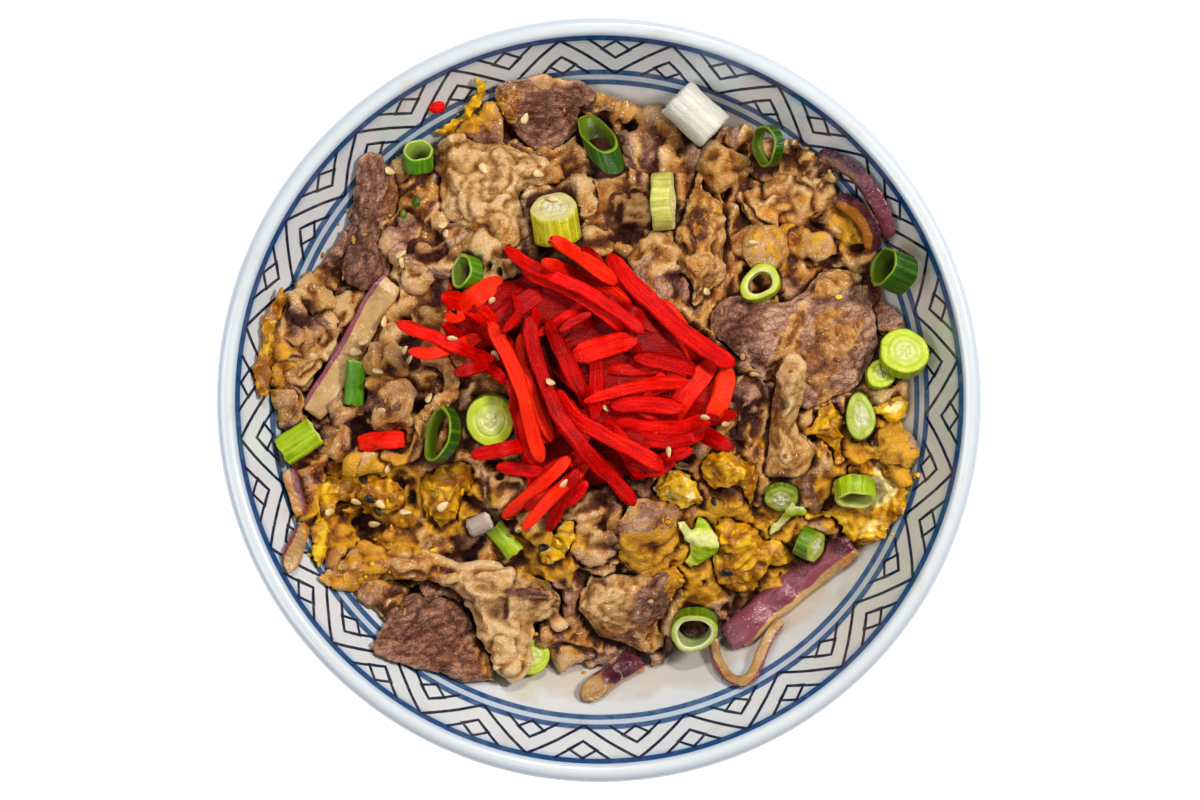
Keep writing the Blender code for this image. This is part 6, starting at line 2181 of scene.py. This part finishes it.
ONION_LAYERS = (
    OnionLayer("onion_outer_arc", 0.5, 0.12, 0.0, (Patch(74, 48, 9, 4, -60, 0.8, 0.5),), path=(
        (57.5, 64), (62.5, 62.5), (67.5, 58.8), (71.5, 53.7), (74.3, 48), (76, 42.5)), skin=1.6),
    OnionLayer("onion_inner_arc", 0.15, 0.25, path=(
        (62.8, 52.5), (66.6, 50.7), (69.8, 47), (71.7, 43), (71.4, 39.5)), skin=1.7),
    OnionLayer("onion_long_band", 0.72, 0.66, 0.0, (
        Patch(62.8, -43.8, 9, 0.9, 40, 0.1, 0.5), Patch(48.7, -55.9, 12, 0.8, 40, 0.2, 0.8),
        Patch(64, -38, 4, 3, 40, 0.9, 0.4)), path=(
        (66.3, -38.5), (61.5, -42), (56, -46.2), (50, -51), (44, -56), (38.5, -60.6), (34.3, -63.3)),
        skin=-1.0, swell=1.1),
    OnionLayer("onion_loop", 0.05, 0.62, path=(
        (30.4, -62.5), (31, -68), (33.8, -72.8), (37.5, -74.4), (40.5, -72.2), (42.8, -67), (45.2, -62.2),
        (48.4, -58.2)), skin=-0.55),
    OnionLayer("onion_pink_piece", 0.25, 0.5, 0.0, (Patch(7, -70, 7, 3, 30, 1.0, 0.25),), path=(
        (-5.3, -78), (1, -76), (7, -71.5), (13, -70.5)), skin=0.6),
    OnionLayer("onion_left_lower", 0.25, 0.6, path=((-81.5, -45), (-80, -40), (-77, -33)), skin=0.9),
    OnionLayer("onion_left_upper", 0.2, 0.55, path=(
        (-82, -18.3), (-80.8, -22.5), (-79.4, -27), (-78.4, -30.6)), skin=0.9),
    OnionLayer("onion_long_strip", 0.04, 0.72, path=(
        (-54.3, 31.2), (-59, 25), (-62.5, 18), (-67, 10), (-71.5, 3), (-76, -3.8)), skin=-0.95),
)

STALKS = (
    Stalk("slant_tube", Cut.DARK, (4.4, 4.4), 0.7, 15.0, -72.0, 10.0, 4.6, facing=62.0, shown=(6.5, 7.8)),
    Stalk("white_chunk", Cut.WHITE, (5.7, 5.4), 0.0, 14.0, -43.0, 6.0, squeeze=0.02),
    Stalk("pale_disc", Cut.STRAW, (8.1, 8.1), 0.0, 5.6, 2.0, 6.0, layers=5),
    Stalk("upper_ring", Cut.DARK, (6.3, 6.3), 1.1, 3.0, 184.0, 27.0, squeeze=0.06),
    Stalk("yellow_tube", Cut.YELLOW, (6.2, 6.2), 0.0, 12.0, 99.0, 24.0, bite=5.0, layers=3),
    Stalk("left_tube", Cut.GREEN, (4.1, 4.1), 0.7, 6.6, 91.0, 22.0, bite=2.5),
    Stalk("cupped_ring", Cut.GREEN, (5.1, 5.1), 1.0, 4.2, 166.0, 32.0, squeeze=0.06),
    Stalk("flat_strip", Cut.GREEN, (2.6, 1.5), 0.55, 11.6, 84.0, 2.0),
    Stalk("wide_ring", Cut.DARK, (8.6, 5.0), 0.9, 3.8, 168.0, 50.0, squeeze=0.08),
    Stalk("round_disc", Cut.LIME, (6.5, 6.8), 0.0, 5.6, 258.0, 74.0, squeeze=0.02, layers=3),
    Stalk("pressed_tube", Cut.LIME, (4.2, 2.0), 0.7, 10.6, 33.0, 4.0),
    Stalk("open_ring", Cut.LIME, (5.6, 5.3), 2.0, 4.0, 118.0, 66.0, squeeze=0.08, bite=1.5, facing=-60.0),
    Stalk("dark_tube", Cut.DARK, (5.9, 5.9), 1.0, 7.6, 158.0, 20.0, squeeze=0.06),
    Stalk("under_disc", Cut.LIME, (4.0, 4.0), 0.0, 3.6, 60.0, 68.0, layers=3),
    Stalk("lime_disc", Cut.LIME, (6.6, 6.3), 0.0, 5.0, 84.0, 70.0, squeeze=0.02),
    Stalk("oval_slice", Cut.PALE, (4.0, 7.0), 0.0, 4.0, 100.0, 76.0, squeeze=0.07, layers=3),
    Stalk("lime_tube", Cut.LIME, (5.7, 5.2), 1.1, 5.6, -88.0, 18.0),
    Stalk("green_stub", Cut.PALE, (4.4, 4.4), 0.0, 7.4, -24.0, 14.0, layers=3, bite=4.0),
    Stalk("half_ring", Cut.PALE, (4.7, 4.7), 0.0, 3.0, -91.0, 30.0, layers=3, bite=1.0),
    Stalk("lime_strip", Cut.LIME, (2.6, 1.7), 0.6, 9.2, -51.0, 3.0),
    Stalk("white_stub", Cut.MAUVE, (2.5, 2.0), 0.0, 6.4, 24.0, 4.0, layers=2),
    Stalk("slant_ring", Cut.PALE, (6.2, 6.2), 1.8, 6.6, -92.0, 62.0, squeeze=0.08),
    Stalk("half_hidden", Cut.LIME, (5.0, 5.0), 0.0, 3.6, 10.0, 62.0, layers=3),
)

SPRIGS = (
    Sprig("spring_onion_curled_sprig", 0.0, 0.0, grain=0.5),
    Sprig("spring_onion_thin_sprig", 0.0, 0.0, grain=0.45),
)

GINGER_STRIPS = (
    (((-41, 27), (-34, 24), (-27, 20)), 5.0),
    (((-49.5, 12.6), (-43, 12), (-36, 14.5), (-30, 17)), 3.6),
    (((-39.5, 20.5), (-33, 26.5), (-25.5, 31.5)), 5.6),
    (((-20, 34), (-10, 30.5), (0, 24), (8, 18)), 5.0),
    (((33.6, 8.5), (32, 1), (28.8, -6.5)), 5.6),
    (((9, 11), (17, 9.5), (25, 7)), 4.0),
    (((-27, -17.6), (-20.5, -18.3), (-14, -19)), 4.0),
    (((-20, -2), (-18.8, -10), (-16.5, -17)), 3.8),
    (((-3, -21.5), (-7, -25.5), (-10.5, -28.5)), 3.8),
    (((8, -17), (14, -18.5), (19.5, -16.5)), 3.6),
    (((6, -8.2), (14, -10.8), (23, -10.3), (28.8, -7)), 3.8),
    (((-7, 11), (2, 14), (10, 16)), 6.0),
    (((-20.5, 17), (-19.6, 8), (-15.6, -3), (-12.5, -11)), 3.6),
    (((2.3, 38), (7, 32), (13, 26), (21, 18.4), (29, 12.6), (35.3, 9)), 4.8),
    (((-12.8, 42), (-8, 39.2), (-2, 35.3), (4.5, 30.3)), 4.2),
    (((-24.6, 39.8), (-19, 35.4), (-12, 32), (-3, 27.6), (5, 22.5), (11.5, 17.3)), 3.8),
    (((-15, 36), (-7, 33), (2, 28.8), (9, 24.4)), 3.6),
    (((-52.6, 19.8), (-45, 17), (-37, 13.6), (-27.5, 10.2)), 3.6),
    (((-28.5, 20), (-24, 12), (-20.2, 3), (-17.8, -7), (-15, -16.4)), 3.8),
    (((-22.3, 27.5), (-21, 22.5), (-25.2, 17.3)), 2.6),
    (((-11, 2.5), (-6.5, -4.5), (1, -9.2), (9, -13.2), (17, -18)), 4.6),
    (((4, -6), (13, -7.2), (22, -7), (29.3, -5)), 4.4),
    (((3, -1.6), (12, -1.2), (22, -2.4)), 4.4),
    (((-4, -0.6), (4, 2), (13, 4), (23, 4.6)), 3.4),
    (((-18.3, 21.5), (-17, 13), (-14, 4), (-10, -5), (-4, -13), (3, -20.3), (9.5, -27.5)), 4.2),
    (((-13.5, 21), (-10.5, 14), (-7, 7), (-4.2, 1.2)), 4.0),
    (((-10.3, 17.6), (-6.5, 20.4), (-2, 22.4)), 2.8),
    (((-7.5, -15), (-14, -21), (-20, -26.4), (-25.3, -31)), 3.6),
    (((-5.6, -18), (-8.6, -24), (-11.2, -29), (-13.4, -34.6)), 3.4),
)

PALE_SEEDS = (
    (-62, 15, 50), (-64, 12.5, -10), (-56.5, 20.5, 60), (-58, 7.5, -40), (-57, -3, 40), (-51, 13, 30),
    (-50, 10.5, 60), (-44.6, 0.5, 60), (-64.5, -16.5, 15), (-55.5, -18, 70), (-64, -27, -40),
    (-57.5, -27.6, -40), (-41, -28, 40), (-38, 15.8, -30), (-51, -29.6, -20), (-59.5, -33, 20),
    (-41, 46, 60), (-40.4, 43.6, -50), (-52.2, 38.2, 10), (-51.8, 35.8, -60), (-28, 25.5, -60),
    (-24.6, 23.6, 30), (-27, 11.5, -60), (-12.6, 4.5, 20), (2, -2.4, -5), (-9.3, -22, 80),
    (27.8, -4.8, -50), (30, -0.8, 80), (22, -17.2, -20), (18, -13.6, -70), (33, -6.5, -40),
    (40.6, 6.6, -30), (40.4, 41, 0), (28.2, 28.2, -10), (-12, 52.6, -20), (-19, 54, 70),
    (-16, 59.3, -20), (-19.6, 74, 70), (-22, 85.2, -20), (-30.5, 60.8, -60), (-55, 60, 0),
    (-71, -29.6, 10),
)

BLACK_SEEDS = (
    (-38, 22.6, -60), (-62, -21, -80), (-60.4, -26.4, -30), (-58.4, -29.6, -30), (-49, -27.4, 0),
    (-26, 33.4, -45), (-14.5, -38.8, 5), (30, -26.8, -40), (33.6, -45.7, -15),
)

BEEF_CRUMBS = Crumbs("beef_scraps", (
    Patch(-50, 30, 26, 26, 0, 34, 0), Patch(45, 35, 30, 26, 0, 34, 0), Patch(0, 62, 34, 16, 0, 24, 0),
    Patch(-66, 0, 14, 26, 0, 24, 0), Patch(60, -5, 18, 26, 0, 22, 0), Patch(-10, -48, 50, 18, 0, 36, 0)),
    size=0.6, mark=0.85)
EGG_CRUMBS = Crumbs("egg_scraps", (
    Patch(-62, -34, 20, 16, 0, 22, 0), Patch(34, -42, 24, 16, 0, 22, 0), Patch(70, -22, 14, 18, 0, 16, 0),
    Patch(-30, -30, 16, 12, 0, 8, 0), Patch(0, -66, 22, 7, 0, 8, 0), Patch(50, 34, 20, 20, 0, 6, 0),
    Patch(-34, 74, 10, 7, 30, 5, 0)), size=0.6)
GINGER_CRUMBS = Crumbs("ginger_scraps", places=((-43.0, 77.0, 2.2), (-39.0, 29.5, 0.9), (-20.5, 25.0, 0.8)))
GREEN_CRUMBS = Crumbs(
    "green_scraps", places=((-50.5, 50.5, 2.0), (-48.0, 52.0, 1.4), (-51.5, 48.5, 1.1)), mark=-0.3)


@dataclass
class Studio:
    """The white floor, the soft lights and the camera straight above the bowl."""

    camera_height: float = 1.478
    lens: float = 161.2
    shift: Point = (0.00018, -0.00013)
    floor_reach: float = 2500.0

    def floor(self) -> bpy.types.Object:
        """A large pale floor.

        Returns:
            The floor.
        """
        corners = np.array(((-1, -1, 0), (1, -1, 0), (1, 1, 0), (-1, 1, 0))) * self.floor_reach
        mesh = bpy.data.meshes.new("floor")
        mesh.from_pydata((corners * MM).tolist(), [], [(0, 1, 2, 3)])
        graph = Graph("floor_white")
        tint = graph.mix(graph.noise(graph.place(), 300.0, 1.0), (0.9, 0.9, 0.9), (0.92, 0.92, 0.92))
        mesh.materials.append(graph.surface({
            "Base Color": tint, "Roughness": 0.9, "Emission Color": (1.0, 1.0, 1.0), "Emission Strength": 0.6,
        }))
        floor = bpy.data.objects.new("floor", mesh)
        bpy.context.scene.collection.objects.link(floor)
        return floor

    def light(self, name: str, place: Colour, size: float, power: float, colour: Colour) -> None:
        """A square soft light that faces the food.

        Args:
            name: Its name.
            place: Where it is, in metres.
            size: Its width, in metres.
            power: Its watts.
            colour: Its colour.
        """
        lamp = bpy.data.lights.new(name, "AREA")
        lamp.size = size
        lamp.energy = power
        lamp.color = colour
        holder = bpy.data.objects.new(name, lamp)
        holder.location = place
        holder.rotation_euler = (Vector(place) - Vector((0.0, 0.0, 0.06))).to_track_quat("Z", "Y").to_euler()
        bpy.context.scene.collection.objects.link(holder)

    def build(self) -> None:
        """Makes the studio."""
        self.floor()
        world = bpy.data.worlds.new("studio")
        world.use_nodes = True
        sky = world.node_tree.nodes["Background"].inputs
        sky["Color"].default_value = (1.0, 1.0, 1.0, 1.0)
        sky["Strength"].default_value = 0.16
        bpy.context.scene.world = world
        self.light("key", (0.62, 0.28, 0.95), 0.17, 9.0, (1.0, 0.98, 0.95))
        self.light("left_fill", (-0.8, -0.2, 0.9), 0.8, 5.5, (0.95, 0.98, 1.0))
        self.light("sparkle", (0.1, 0.75, 1.1), 0.1, 5.5, (1.0, 1.0, 1.0))
        camera = bpy.data.cameras.new("camera")
        camera.lens = self.lens
        camera.sensor_width = 36.0
        camera.clip_start = 0.05
        camera.clip_end = 20.0
        holder = bpy.data.objects.new("camera", camera)
        holder.location = (*self.shift, self.camera_height)
        bpy.context.scene.collection.objects.link(holder)
        bpy.context.scene.camera = holder
        bpy.context.scene.view_settings.view_transform = "Standard"
        bpy.context.scene.view_settings.gamma = 0.9


def main() -> None:
    """Builds and dresses every piece in order."""
    logging.basicConfig(level=logging.INFO, format="%(message)s")
    Studio().build()
    table = Table.of_frame()
    Bowl().build()
    beef = Beef().material()
    for piece in (HEAP, *BEEF_SLICES):
        piece.build(table, beef)
    egg = Egg().material()
    for piece in EGG_CURDS:
        piece.build(table, egg)
    BEEF_CRUMBS.build(table, beef, Slot.FAT)
    EGG_CRUMBS.build(table, egg, Slot.EGG)
    onion = RedOnion().material()
    for piece in ONION_LAYERS:
        piece.build(table, onion)
    greens = {cut: SpringOnion(cut).material() for cut in Cut}
    for piece in STALKS:
        piece.build(table, greens[piece.cut])
    for piece in SPRIGS:
        piece.build(table, greens[Cut.LIME])
    ginger = Ginger().material()
    GingerHeap(GINGER_STRIPS).build(table, ginger)
    GingerStub("ginger_stub", 0.0, 0.6, grain=0.45).build(table, ginger)
    GINGER_CRUMBS.build(table, ginger, Slot.GINGER)
    GREEN_CRUMBS.build(table, greens[Cut.DARK], Slot.SPRING_ONION)
    ivory = Sesame("sesame_ivory", screen(226, 194, 136), screen(246, 226, 184))
    Seeds("sesame_pale", ivory, PALE_SEEDS).build(table)
    black = Sesame("sesame_black_skin", screen(16, 14, 16), screen(38, 34, 36))
    Seeds("sesame_black", black, BLACK_SEEDS).build(table)


if __name__ == "__main__":
    main()
